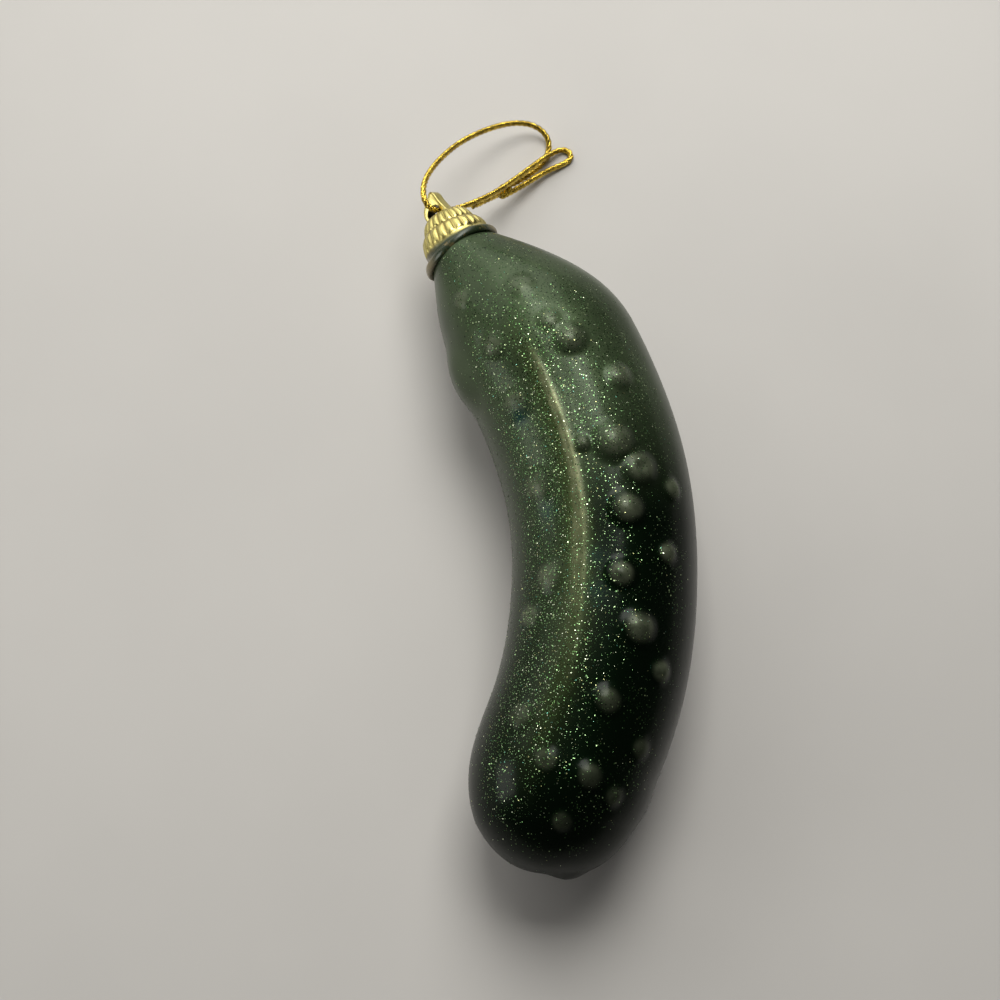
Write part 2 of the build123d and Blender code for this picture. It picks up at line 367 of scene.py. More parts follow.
@dataclass(frozen=True)
class GlitterFinish:
    """Foil flakes, each with its own tint; every tint has its share of the flakes."""

    roughness: float = 0.30
    glint: Colour = (0.95, 0.95, 0.85)
    streaks: Cloud = Cloud(0.12 * MM, 1.0, 0.3, 0.7, 0.0, 0.12)
    tints: tuple[tuple[Colour, float], ...] = (
        ((0.07, 0.19, 0.05), 0.50),
        ((0.19, 0.34, 0.13), 0.28),
        ((0.58, 0.66, 0.45), 0.11),
        ((0.34, 0.36, 0.14), 0.07),
        ((0.05, 0.24, 0.16), 0.04),
    )

    def material(self) -> bpy.types.Material:
        """Builds the foil from the flakes' tint attribute.

        Returns:
            The material.
        """
        shader = Shader("glitter_foil")
        tint = shader.node("Attribute", attribute_name="tint").outputs["Color"]
        shader.set(
            Base_Color=shader.mix(shader.cloud(shader.place(), self.streaks), tint, self.glint),
            Metallic=1.0,
            Roughness=self.roughness,
        )
        return shader.material


@dataclass(frozen=True)
class GoldFinish:
    """Thin metallised pale gold on moulded plastic, with painted shade in the grooves and in the tab's hole,
    and green or tan at the rim, the green partly overspray and partly painted reflection of the green shell.
    """

    bright: Colour = (0.57, 0.50, 0.175)
    dull: Colour = (0.35, 0.305, 0.105)
    brown: Colour = (0.24, 0.165, 0.06)
    # flange rim: partly green overspray, partly painted reflection of the green shell and painted shade on
    # the flange
    rim_green: Colour = (0.018, 0.030, 0.012)
    rim_tan: Colour = (0.20, 0.165, 0.085)
    # painted shade: near black on the wall of the tab's hole
    hole_black: Colour = (0.006, 0.005, 0.003)
    overspray: float = 0.85
    tarnish: Cloud = Cloud(2.5 * MM, 5.0, 0.35, 0.7)
    tarnish_depth: float = 0.45
    # painted shade: brown darkening in the grooves between the ribs
    dirt: Cloud = Cloud(1.2 * MM, 4.0, 0.3, 0.7, 0.35, 0.9)
    dirt_roughness: float = 0.15
    patches: Cloud = Cloud(2.2 * MM, 4.0, 0.55, 0.75, 0.0, 0.6)
    speckle: Cloud = Cloud(0.5 * MM, 2.0, 0.62, 0.72)
    speckle_depth: float = 0.4
    roughness: Pair = (0.26, 0.40)
    pits: Grit = Grit(0.45 * MM, 4.0, 0.3, 0.03 * MM)

    def material(self) -> bpy.types.Material:
        """Builds the gold from the groove, rim, rim_end and hole attributes.

        Returns:
            The material.
        """
        shader = Shader("pale_gold")
        place = shader.place()
        rim = shader.attribute("rim")
        tarnish = shader.cloud(place, self.tarnish)
        colour = shader.mix(shader.math("MULTIPLY", tarnish, self.tarnish_depth), self.bright, self.dull)
        # painted shade: brown darkening in the grooves between the ribs, which are also rougher
        dirt = shader.math("MULTIPLY", shader.attribute("groove"), shader.cloud(place, self.dirt))
        colour = shader.mix(dirt, colour, self.brown)
        # flange rim: partly green overspray, partly painted reflection of the green shell and painted shade
        oversprayed = shader.mix(shader.cloud(place, self.patches), self.rim_green, self.brown)
        oversprayed = shader.mix(shader.attribute("rim_end"), oversprayed, self.rim_tan)
        colour = shader.mix(rim, colour, oversprayed)
        # painted shade inside the tab's hole
        colour = shader.mix(shader.attribute("hole"), colour, self.hole_black)
        speckle = shader.math("MULTIPLY", shader.cloud(place, self.speckle), self.speckle_depth)
        worn = shader.span(tarnish, 0.0, 1.0, *self.roughness)
        shader.set(
            Base_Color=shader.mix(speckle, colour, self.brown),
            Metallic=shader.span(rim, 0.0, 1.0, 1.0, 1.0 - self.overspray),
            Roughness=shader.math("ADD", worn, shader.math("MULTIPLY", dirt, self.dirt_roughness)),
            Normal=shader.grit(place, self.pits),
        )
        return shader.material


@dataclass(frozen=True)
class CordFinish:
    """Gold foil thread: slanting wraps along each ply, in millimetres of the ply's own UV map."""

    bright: Colour = (0.86, 0.62, 0.095)
    dark: Colour = (0.21, 0.137, 0.020)
    wrap: float = 0.36
    wrap_strength: float = 0.6
    wrap_depth: float = 0.06 * MM
    seam_width: float = 0.35
    seam_depth: float = 0.8
    tone: Cloud = Cloud(1.1 * MM, 3.0, 0.38, 0.62)
    tone_depth: float = 0.75
    roughness: Pair = (0.14, 0.26)

    def material(self) -> bpy.types.Material:
        """Builds the foil thread from the plies' own UV map.

        Returns:
            The material.
        """
        shader = Shader("gold_thread")
        uv = shader.node("SeparateXYZ", {0: shader.node("UVMap").outputs["UV"]})
        along = shader.math("DIVIDE", uv.outputs[0], self.wrap)
        wraps = shader.math("FRACT", shader.math("ADD", along, uv.outputs[1]))
        crown = shader.math("SINE", shader.math("MULTIPLY", wraps, math.pi))
        tone = shader.cloud(shader.place(), self.tone)
        colour = shader.mix(shader.math("MULTIPLY", tone, self.tone_depth), self.bright, self.dark)
        seam = shader.span(crown, self.seam_width, 0.0, 0.0, self.seam_depth)
        shader.set(
            Base_Color=shader.mix(seam, colour, self.dark),
            Metallic=1.0,
            Roughness=shader.span(tone, 0.0, 1.0, *self.roughness),
            Normal=shader.bump(crown, self.wrap_strength, self.wrap_depth),
        )
        return shader.material


@dataclass(frozen=True)
class FloorFinish:
    """Plain pale table top."""

    colour: Colour = (0.56, 0.545, 0.515)
    shadiness: float = 0.96
    clouds: Cloud = Cloud(60 * MM, 4.0, 0.3, 0.7)
    roughness: float = 0.7
    gloss: float = 0.2

    def material(self) -> bpy.types.Material:
        """Builds the matt table top.

        Returns:
            The material.
        """
        shader = Shader("pale_floor")
        darker = tuple(self.shadiness * channel for channel in self.colour)
        shader.set(
            Base_Color=shader.mix(shader.cloud(shader.place(), self.clouds), self.colour, darker),
            Roughness=self.roughness,
            Specular_IOR_Level=self.gloss,
        )
        return shader.material


def linked_object(name: str, data: bpy.types.ID) -> bpy.types.Object:
    """Adds an object to the scene.

    Args:
        name: Name of the object.
        data: Its mesh, curve, light or camera.

    Returns:
        The new object.
    """
    made = bpy.data.objects.new(name, data)
    bpy.context.scene.collection.objects.link(made)
    return made


def make_piece(name: str, mesh: bpy.types.Mesh, material: bpy.types.Material) -> bpy.types.Object:
    """Links a smooth-shaded mesh into the scene.

    Args:
        name: Name of the piece.
        mesh: Its mesh, already in place.
        material: Its only material.

    Returns:
        The new object.
    """
    mesh.polygons.foreach_set("use_smooth", np.ones(len(mesh.polygons), bool))
    mesh.materials.clear()
    mesh.materials.append(material)
    return linked_object(name, mesh)


def fit_piece(piece: bpy.types.Object, body: Body, slot: Slot, *nodes: str) -> bpy.types.Object:
    """Puts a piece on its body and in place of its solids, and reports it.

    Args:
        piece: The finished piece.
        body: Body that it moves with.
        slot: Slot that its finish belongs to; not used.
        nodes: Solids that it stands for.

    Returns:
        The piece.
    """
    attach(piece, body.value)
    if nodes:
        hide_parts(*nodes)
    LOG.info("%s: %d faces, rides on %s", piece.name, len(piece.data.polygons), body.value)
    return piece


def finished_mesh(name: str, made: bmesh.types.BMesh) -> bpy.types.Mesh:
    """Turns a bmesh into a mesh, and uses it up.

    Args:
        name: Name of the mesh.
        made: The modelled shape.

    Returns:
        The mesh.
    """
    mesh = bpy.data.meshes.new(name)
    made.to_mesh(mesh)
    made.free()
    return mesh


def corner_rows(mesh: bpy.types.Mesh, value: str) -> np.ndarray:
    """Values of a mesh's corners.

    Args:
        mesh: The mesh.
        value: "co" for the points or "normal" for the normals.

    Returns:
        One row for each corner.
    """
    flat = np.empty(len(mesh.vertices) * 3)
    mesh.vertices.foreach_get(value, flat)
    return flat.reshape(-1, 3)


def corners_of(mesh: bpy.types.Mesh) -> np.ndarray:
    """Corner points of a mesh, one row each."""
    return corner_rows(mesh, "co")


def normals_of(mesh: bpy.types.Mesh) -> np.ndarray:
    """Corner normals of a mesh, one row each."""
    return corner_rows(mesh, "normal")


def move_corners(mesh: bpy.types.Mesh, points: np.ndarray) -> None:
    """Puts the corners of a mesh at new points."""
    mesh.vertices.foreach_set("co", points.astype(np.float32).ravel())
    mesh.update()


def add_strength(mesh: bpy.types.Mesh, name: str, values: np.ndarray) -> None:
    """Stores one number for each corner as a surface attribute."""
    mesh.attributes.new(name, "FLOAT", "POINT").data.foreach_set("value", values.astype(np.float32))


def smooth_step(values: np.ndarray, low: float, high: float) -> np.ndarray:
    """0 below low, 1 above high, and smooth between."""
    share = np.clip((values - low) / (high - low), 0.0, 1.0)
    return share * share * (3.0 - 2.0 * share)


def bell(values: np.ndarray, width: float | np.ndarray) -> np.ndarray:
    """1 at 0, falling off smoothly on both sides over about the width."""
    return np.exp(-((values / width) ** 2))


def unit_rows(vectors: np.ndarray) -> np.ndarray:
    """Rows of vectors brought to length 1."""
    return vectors / np.linalg.norm(vectors, axis=1)[:, None]


def spun_mesh(name: str, profile: list[Pair], steps: int) -> bpy.types.Mesh:
    """Closed mesh of a profile turned once about Z.

    Args:
        name: Name of the mesh.
        profile: (radius, height) points, from one end on the axis to the other.
        steps: Number of sides.

    Returns:
        The mesh, with its poles merged and its faces outwards.
    """
    made = bmesh.new()
    tip = made.verts.new((profile[0][0], 0.0, profile[0][1]))
    for radius, height in profile[1:]:
        grown = bmesh.ops.extrude_vert_indiv(made, verts=[tip])
        tip = grown["verts"][0]
        tip.co = (radius, 0.0, height)
    line = made.verts[:] + made.edges[:]
    bmesh.ops.spin(
        made, geom=line, cent=(0, 0, 0), axis=(0, 0, 1), angle=math.tau, steps=steps, use_merge=True
    )
    bmesh.ops.remove_doubles(made, verts=made.verts, dist=POLE_MERGE)
    bmesh.ops.recalc_face_normals(made, faces=made.faces)
    return finished_mesh(name, made)


def repeated_mesh(name: str, mesh: bpy.types.Mesh, count: int) -> bpy.types.Mesh:
    """Many copies of a mesh in one place, one after the other.

    Args:
        name: Name of the new mesh.
        mesh: Mesh to repeat, which is used up.
        count: Number of copies.

    Returns:
        The mesh of all copies.
    """
    holder = linked_object(name, mesh)
    copies = holder.modifiers.new("copies", "ARRAY")
    copies.count = count
    copies.use_relative_offset = False
    copies.use_merge_vertices = False
    depsgraph = bpy.context.evaluated_depsgraph_get()
    made = bpy.data.meshes.new_from_object(holder.evaluated_get(depsgraph))
    bpy.data.objects.remove(holder)
    bpy.data.meshes.remove(mesh)
    made.name = name
    return made


def round_corner(corner: Pair, before: Pair, after: Pair, radius: float, steps: int) -> list[Pair]:
    """Points of a small round at a corner of a profile.

    Args:
        corner: The sharp corner, (radius, height).
        before: Point that the profile comes from.
        after: Point that it goes to.
        radius: How far the round starts from the corner.
        steps: Number of spans.

    Returns:
        The points of the round, in order.
    """
    corner_point = Vector(corner)
    start = corner_point + (Vector(before) - corner_point).normalized() * radius
    end = corner_point + (Vector(after) - corner_point).normalized() * radius
    points = []
    for step in range(steps + 1):
        share = step / steps
        point = start * (1 - share) ** 2 + corner_point * 2 * share * (1 - share) + end * share**2
        points.append((point.x, point.y))
    return points


@dataclass(frozen=True)
class Spine:
    """Bent, level centre line of the shell, from the cap's seat to the round end; headings are in degrees."""

    seat: Point = (-15.9 * MM, 46.5 * MM, 15.9078 * MM)
    bend_radius: float = 75.4 * MM
    bend_start: float = 46.7
    bend_end: float = -22.0
    tip_bend_radius: float = 45.0 * MM
    tip_heading: float = -4.0
    tip_run: float = 8.0 * MM
    cap_tilt: float = 25.0

    @property
    def length(self) -> float:
        """Length of the centre line below the seat."""
        return self.bend_length + self.tip_length + self.tip_run

    @property
    def bend_length(self) -> float:
        """Length of the long bend."""
        return self.bend_radius * math.radians(self.bend_start - self.bend_end)

    @property
    def tip_length(self) -> float:
        """Length of the bend back to the tip."""
        return self.tip_bend_radius * math.radians(self.tip_heading - self.bend_end)

    @property
    def cap_matrix(self) -> Matrix:
        """Frame of the cap.

        Returns:
            The frame with X up and Z out along the axis of the cap.
        """
        tilt = math.radians(self.cap_tilt)
        axis = Vector((-math.sin(tilt), math.cos(tilt), 0.0))
        up = Vector((0.0, 0.0, 1.0))
        turned = Matrix((up, axis.cross(up), axis)).transposed().to_4x4()
        return Matrix.Translation(self.seat) @ turned

    def surface(self, distance: np.ndarray, turn: np.ndarray, reach: np.ndarray) -> np.ndarray:
        """Points round the centre line.

        Args:
            distance: Distances along the centre line; below 0 they run up the neck.
            turn: Turns from the top to the outside of the bend, in radians.
            reach: Distances from the centre line.

        Returns:
            One point for each, as rows.
        """
        start, end = math.radians(self.bend_start), math.radians(self.bend_end)
        tip, tilt = math.radians(self.tip_heading), math.radians(self.cap_tilt)
        heading = start - np.clip(distance, 0, self.bend_length) / self.bend_radius
        turned = end + np.clip(distance - self.bend_length, 0, self.tip_length) / self.tip_bend_radius
        run = np.clip(distance - self.bend_length - self.tip_length, 0, None)
        neck = np.clip(distance, None, 0)
        x = self.seat[0] + self.bend_radius * (np.cos(heading) - math.cos(start))
        y = self.seat[1] + self.bend_radius * (np.sin(heading) - math.sin(start))
        x = x - self.tip_bend_radius * (np.cos(turned) - math.cos(end))
        y = y - self.tip_bend_radius * (np.sin(turned) - math.sin(end))
        x = x + run * math.sin(tip) + neck * math.sin(tilt)
        y = y - run * math.cos(tip) - neck * math.cos(tilt)
        across = np.minimum(heading + turned - end, tilt)
        side = reach * np.sin(turn)
        return np.column_stack([
            x + side * np.cos(across), y + side * np.sin(across), self.seat[2] + reach * np.cos(turn)
        ])


@dataclass(frozen=True)
class Wart:
    """One wart: share of the shell's length, turn from the top in degrees, width, and its top."""

    share: float
    turn: float
    width: float
    kind: WartKind = WartKind.DOME

    END_SHARE = 0.74
    INSIDE_TURNS = (-130.0, -10.0)
    SUNK_SWELL = 0.45
    END_SWELL = 0.70
    FULL_PALENESS = 0.85
    FAINT_PALENESS = 0.45

    @property
    def swell(self) -> float:
        """Height against a full dome.

        Returns:
            1 for a full dome; less near the end, and inside the bend, where the lacquer half covers warts.
        """
        inside = self.INSIDE_TURNS[0] < self.turn < self.INSIDE_TURNS[1]
        swell = self.SUNK_SWELL if inside or self.kind is WartKind.SUNK else 1.0
        return swell * (self.END_SWELL if self.share > self.END_SHARE else 1.0)

    @property
    def paleness(self) -> float:
        """How much paler than the lacquer its top is: partly the warts' own paler paint, partly a painted
        highlight on tops that face the light.

        Returns:
            The paleness from 0 to 1: less near the end and on sunk warts.
        """
        if self.kind is WartKind.SWELLING:
            return 0.0
        faint = self.share > self.END_SHARE or self.kind is WartKind.SUNK
        return self.FAINT_PALENESS if faint else self.FULL_PALENESS


UPPER_WARTS = (
    Wart(0.240, 8, 4.6 * MM), Wart(0.311, 27, 4.2 * MM), Wart(0.398, 11, 5.9 * MM),
    Wart(0.438, 23, 5.3 * MM, WartKind.DIMPLED), Wart(0.492, 12, 5.1 * MM), Wart(0.582, 7, 4.2 * MM),
    Wart(0.650, 21, 5.2 * MM), Wart(0.753, 12, 4.4 * MM), Wart(0.860, 16, 4.2 * MM),
    Wart(0.928, 4, 3.4 * MM), Wart(0.465, 45, 3.6 * MM), Wart(0.549, 37, 3.6 * MM),
    Wart(0.696, 41, 3.8 * MM), Wart(0.793, 43, 3.8 * MM), Wart(0.131, 1, 4.4 * MM, WartKind.SUNK),
    Wart(0.102, -42, 3.6 * MM), Wart(0.197, -36, 4.0 * MM), Wart(0.292, -41, 5.0 * MM),
    Wart(0.392, -8, 2.4 * MM, WartKind.POINTED), Wart(0.436, -43, 5.2 * MM), Wart(0.586, -39, 4.8 * MM),
    Wart(0.650, -51, 4.0 * MM), Wart(0.810, -37, 4.4 * MM), Wart(0.853, -12, 3.8 * MM),
    Wart(0.202, 2, 3.4 * MM, WartKind.SUNK), Wart(0.881, 35, 3.4 * MM),
    Wart(0.196, -84, 11.0 * MM, WartKind.SWELLING),
)


@dataclass(frozen=True)
class Fade:
    """Drop of a strength along the shell: how deep it is, and the distances where it starts and ends."""

    depth: float
    start: float
    end: float

    def left(self, distance: np.ndarray) -> np.ndarray:
        """What is left of the strength at distances along the shell."""
        return 1 - self.depth * smooth_step(distance, self.start, self.end)


@dataclass
class PickleShell:
    """Hollow gherkin with its neck, ridge, warts and glitter.

    Turns are in degrees from the top. The flank's turn, start and end and the painted-shade area's turn are
    counted from the ridge's. The dent's reach is in radians.
    """

    spine: Spine
    upper_radius: float = 15.5 * MM
    lower_radius: float = 14.8 * MM
    shoulder_length: float = 25.0 * MM
    shoulder_radius: float = 6.5 * MM
    shoulder_steps: int = 4
    end_length: float = 17.5 * MM
    end_crowding: float = 1.45
    wall: float = 1.0 * MM
    neck_radius: float = 4.0 * MM
    neck_bore: float = 3.1 * MM
    neck_height: float = 3.6 * MM
    neck_edge: float = 0.25 * MM
    neck_steps: int = 3
    inner_steps: int = 26
    sides: int = 240
    skin_step: float = 0.385 * MM
    skin_start: float = 1.0 * MM
    side_slopes: Pair = (0.40, 0.70)

    ridge_turn: float = -16.0
    ridge_start: float = 20.0 * MM
    ridge_end: float = 98.0 * MM
    ridge_width: float = 1.0 * MM
    ridge_height: float = 0.30 * MM
    ridge_rise: float = 16.0 * MM
    ridge_fall: float = 42.0 * MM
    ridge_outer: float = 0.6
    ridge_spread: float = 1.3
    spread_span: Pair = (40.0 * MM, 75.0 * MM)
    ridge_wander: float = 0.5
    ridge_wave: float = 6.3 * MM
    ridge_swing: float = 9.0
    swing_length: float = 26.0 * MM
    dip_offset: float = 3.0 * MM
    dip_width: float = 1.8 * MM
    dip_depth: float = 0.16 * MM
    # painted shade: the pale crest colour fades towards the end, which lies darker
    ridge_wear: Fade = Fade(0.80, 46.0 * MM, 78.0 * MM)
    pale_crest: Pair = (0.10, 0.75)
    flank_turn: float = -4.0
    flank_width: float = 1.8 * MM
    flank_spread: float = 0.9 * MM
    flank_start: Pair = (-4.0 * MM, 12.0 * MM)
    flank_end: Pair = (-14.0 * MM, 6.0 * MM)
    flank_top: float = 0.85
    flank_loss: float = 0.50
    flank_loss_span: Pair = (52.0 * MM, 90.0 * MM)

    # painted shade: how the lacquer darkens along the shell and past the ridge
    shade_top: float = 1.30
    shade_fall: float = 1.40
    shade_dark: float = 0.60
    dark_turn: float = 8.0
    dark_shares: Pair = (0.32, 0.52)
    gloss_fade: Fade = Fade(0.75, 94.0 * MM, 108.0 * MM)
    smudges: tuple[tuple[float, float, float, float], ...] = (
        (0.314, -41.0, 1.5 * MM, 0.8), (0.560, -9.0, 1.6 * MM, 0.2), (0.610, -8.5, 1.8 * MM, 0.2),
        (0.480, -38.0, 1.6 * MM, 0.4),
    )

    pip_offset: float = 2.8 * MM
    pip_radius: float = 3.6 * MM
    pip_height: float = 0.65 * MM
    blunt_radius: float = 5.0 * MM
    blunt_depth: float = 0.60 * MM
    dent_length: float = 7.0 * MM
    dent_depth: float = 0.8 * MM
    dent_reach: float = 0.8
    wave_height: float = 0.10 * MM
    wave_length: float = 5.3 * MM
    wave_lean: float = 2.1
    wave_phase: float = 0.7
    wave_start: Pair = (4.0 * MM, 20.0 * MM)

    wart_rise: float = 0.22
    wart_foot: float = 0.72
    wart_flat: float = 0.10
    wart_top: Pair = (0.2, 0.8)
    dimple_depth: float = 0.09
    dimple_width: float = 0.26
    lower_wart_turns: tuple[float, ...] = (112, -112, -139, 139, 166, -166)
    lower_wart_start: float = 26.0 * MM
    lower_wart_pitch: float = 16.0 * MM
    lower_warts_per_row: int = 5
    lower_wart_width: float = 4.2 * MM

    flake_count: int = 14000
    flake_seed: int = 11
    flake_size: Pair = (0.065 * MM, 0.12 * MM)
    flake_scales: tuple[Pair, ...] = ((0.75, 0.5), (1.0, 0.4), (1.25, 0.1))
    flake_keel: float = 0.8
    flake_lift: float = 0.3
    flake_tilt: float = 0.20
    flake_jitter: float = 0.25 * MM
    flake_share: float = 0.48
    flake_share_inside: float = 0.75
    flake_share_up: float = 4.5
    flake_share_least: float = 0.05
    flake_start: Pair = (14.0 * MM, 44.0 * MM)
    flake_base: float = 0.04
    # fewer flakes in the painted-shade area
    flake_dark: float = 0.45
    flake_side: float = 0.94
    flake_end: Fade = Fade(0.95, 92.0 * MM, 108.0 * MM)
    crest_flakes: float = 8.0
    crest_flake_end: Fade = Fade(1.0, 40.0 * MM, 75.0 * MM)

    warts: list[Wart] = field(init=False)
    skin_points: np.ndarray = field(init=False, repr=False)
    skin_normals: np.ndarray = field(init=False, repr=False)
    skin_flakes: np.ndarray = field(init=False, repr=False)

    def __post_init__(self) -> None:
        """Gathers the warts: the ones that face up, and the staggered rows that face down."""
        self.warts = list(UPPER_WARTS)
        for row, turn in enumerate(self.lower_wart_turns):
            first = self.lower_wart_start + self.lower_wart_pitch / 2 * (row % 2)
            for count in range(self.lower_warts_per_row):
                share = (first + self.lower_wart_pitch * count) / self.spine.length
                self.warts.append(Wart(share, turn, self.lower_wart_width))

    def radius(self, distance: np.ndarray) -> np.ndarray:
        """Outer radius of the smooth shell.

        Args:
            distance: Distances along the centre line.

        Returns:
            The radius at each.
        """
        end_start = self.spine.length - self.end_length
        rise = np.sin(np.clip(distance / self.shoulder_length, 0, 1) * math.pi / 2)
        shoulder = self.shoulder_radius + (self.upper_radius - self.shoulder_radius) * rise
        share = np.clip((distance - self.shoulder_length) / (end_start - self.shoulder_length), 0, 1)
        barrel = shoulder + (self.lower_radius - self.upper_radius) * share
        drop = np.clip((distance - end_start) / self.end_length, 0, 1)
        return barrel * np.sqrt(1 - drop**2)

    def skin_point(self, share: float, turn: float) -> np.ndarray:
        """Point of the smooth skin at a share of the length and a turn in degrees."""
        distance = np.array([share * self.spine.length])
        return self.spine.surface(distance, np.radians([turn]), self.radius(distance))[0]

    def profile(self) -> list[Pair]:
        """Closed wall of the straightened shell.

        Returns:
            (radius, minus the distance) points: inner tip, bore, neck and the outer skin to the tip.
        """
        length = self.spine.length
        end_start = length - self.end_length
        skin_steps = round(end_start / self.skin_step)
        end_steps = round(self.end_length * self.end_crowding / self.skin_step)
        points = [(0.0, -(length - self.wall))]
        for step in range(1, self.inner_steps):
            distance = (length - self.wall) * math.cos(math.pi / 2 * step / self.inner_steps)
            inner = max(float(self.radius(distance)) - self.wall, self.neck_bore)
            points.append((inner, -max(distance, self.wall)))
        points.append((self.neck_bore, 0.0))
        edge = self.neck_edge
        bore, foot, ledge = (self.neck_bore, 0.0), (self.neck_radius, 0.0), (self.shoulder_radius, 0.0)
        inner_lip, outer_lip = (self.neck_bore, self.neck_height), (self.neck_radius, self.neck_height)
        points += round_corner(inner_lip, bore, outer_lip, edge, self.neck_steps)
        points += round_corner(outer_lip, inner_lip, foot, edge, self.neck_steps)
        points += round_corner(foot, outer_lip, ledge, edge, self.neck_steps)
        shoulder = (float(self.radius(2 * edge)), -2 * edge)
        points += round_corner(ledge, foot, shoulder, 2 * edge, self.shoulder_steps)
        for step in range(2, skin_steps + 1):
            distance = end_start * step / skin_steps
            points.append((float(self.radius(distance)), -distance))
        for step in range(1, end_steps + 1):
            distance = end_start + self.end_length * math.sin(math.pi / 2 * step / end_steps)
            points.append((float(self.radius(distance)), -distance))
        points[-1] = (0.0, -length)
        return points

    def wart_relief(self, points: np.ndarray) -> tuple[np.ndarray, np.ndarray]:
        """Height of the warts over the smooth skin.

        Args:
            points: Points of the smooth skin.

        Returns:
            The height at each point, and how much of it is a wart's top, from 0 to 1.
        """
        height = np.zeros(len(points))
        top = np.zeros(len(points))
        for wart in self.warts:
            away = np.linalg.norm(points - self.skin_point(wart.share, wart.turn), axis=1)
            share = away / (wart.width * self.wart_foot)
            if wart.kind is WartKind.POINTED:
                dome = np.clip(1 - share**2, 0, None) ** 2
            else:
                dome = 1 - smooth_step(share, self.wart_flat, 1.0)
            rise = self.wart_rise * dome
            if wart.kind is WartKind.DIMPLED:
                rise = rise - self.dimple_depth * bell(share, self.dimple_width)
            height = np.maximum(height, rise * wart.width * wart.swell)
            top = np.maximum(top, smooth_step(dome, *self.wart_top) * wart.paleness)
        return height, top

    def ridge_relief(self, distance: np.ndarray, turn: np.ndarray) -> tuple[np.ndarray, np.ndarray]:
        """Height of the ridge over the smooth skin.

        Args:
            distance: Distances along the centre line.
            turn: Turns from the top, in radians.

        Returns:
            The height at each point, and how much of it is the ridge's crest, from 0 to 1.
        """
        swing = self.ridge_swing * smooth_step(distance, self.ridge_end - self.swing_length, self.ridge_end)
        wander = self.ridge_wander * np.sin(distance / self.ridge_wave) + swing
        aside = (turn - np.radians(self.ridge_turn + wander)) * self.radius(distance)
        fade = smooth_step(distance, self.ridge_start, self.ridge_start + self.ridge_rise)
        fade = fade * (1 - smooth_step(distance, self.ridge_end - self.ridge_fall, self.ridge_end))
        left = self.ridge_width * (1 + self.ridge_spread * smooth_step(distance, *self.spread_span))
        crest = bell(aside, np.where(aside < 0, left, self.ridge_outer * self.ridge_width))
        dip = bell(aside - self.dip_offset, self.dip_width)
        return fade * (self.ridge_height * crest - self.dip_depth * dip), fade * crest

    def form_relief(self, distance: np.ndarray, turn: np.ndarray, straight: np.ndarray) -> np.ndarray:
        """Height of the shell's broad unevenness: its waves, the dent by the cap, and the blunt tip's pip.

        Args:
            distance: Distances along the centre line.
            turn: Turns from the top, in radians.
            straight: Points of the straightened shell.

        Returns:
            The height at each point, below 0 for hollows.
        """
        waves = np.sin(distance / self.wave_length + self.wave_lean * np.sin(turn))
        waves = self.wave_height * waves * np.cos(2 * turn + self.wave_phase)
        waves = waves * smooth_step(distance, *self.wave_start)
        dent = bell(distance, self.dent_length) * bell(turn + math.pi / 2, self.dent_reach)
        beside = np.hypot(straight[:, 0], straight[:, 1] - self.pip_offset)
        pip = np.clip(1 - (beside / self.pip_radius) ** 2, 0, None)
        blunt = bell(np.hypot(straight[:, 0], straight[:, 1]), self.blunt_radius)
        tip = (self.pip_height * pip**2 - self.blunt_depth * blunt) * (distance > self.spine.length / 2)
        return waves - self.dent_depth * dent + tip

    def dark_strength(self, distance: np.ndarray, turn: np.ndarray) -> np.ndarray:
        """Strength of the painted-shade area: past the ridge, on the outside of the bend and below the
        shoulder.
        """
        start, end = np.radians([self.ridge_turn, self.ridge_turn + self.dark_turn])
        return smooth_step(turn, start, end) * smooth_step(distance / self.spine.length, *self.dark_shares)

    def shade_strength(self, distance: np.ndarray, turn: np.ndarray) -> np.ndarray:
        """Painted shade of the lacquer, given as how light it is: most at the shoulder and inside the bend,
        least at the end's outside.
        """
        lightness = self.shade_top - self.shade_fall * distance / self.spine.length
        return np.clip(lightness - self.shade_dark * self.dark_strength(distance, turn), 0.0, 1.0)

    def flank_strength(self, distance: np.ndarray, turn: np.ndarray) -> np.ndarray:
        """Strength of the worn olive band along the inner side of the ridge.

        Args:
            distance: Distances along the centre line.
            turn: Turns from the top, in radians.

        Returns:
            The strength at each point.
        """
        aside = (turn - np.radians(self.ridge_turn + self.flank_turn)) * self.radius(distance)
        fade = smooth_step(distance - self.ridge_start, *self.flank_start)
        fade = fade * (1 - smooth_step(distance - self.ridge_end, *self.flank_end))
        width = self.flank_width + self.flank_spread * smooth_step(distance, *self.spread_span)
        strength = self.flank_top - self.flank_loss * smooth_step(distance, *self.flank_loss_span)
        return strength * fade * bell(aside, width)

    def spot_strength(self, points: np.ndarray) -> np.ndarray:
        """Strength of the blue-green smudges in the lacquer.

        Args:
            points: Points of the smooth skin.

        Returns:
            The strength at each point.
        """
        strength = np.zeros(len(points))
        for share, turn, size, depth in self.smudges:
            away = np.linalg.norm(points - self.skin_point(share, turn), axis=1)
            strength = np.maximum(strength, depth * bell(away, size))
        return strength

    def flake_weight(
        self, distance: np.ndarray, turn: np.ndarray, crest: np.ndarray, side: np.ndarray
    ) -> np.ndarray:
        """How thick the glitter lies: most on the ridge's crest, least at the shoulder, sides and end, and
        thinned in the painted-shade area.

        Args:
            distance: Distances along the centre line.
            turn: Turns from the top, in radians.
            crest: How much of each point is the ridge's crest.
            side: How much of each point is on the shell's steep sides.

        Returns:
            The weight at each point.
        """
        weight = smooth_step(distance, *self.flake_start) + self.flake_base
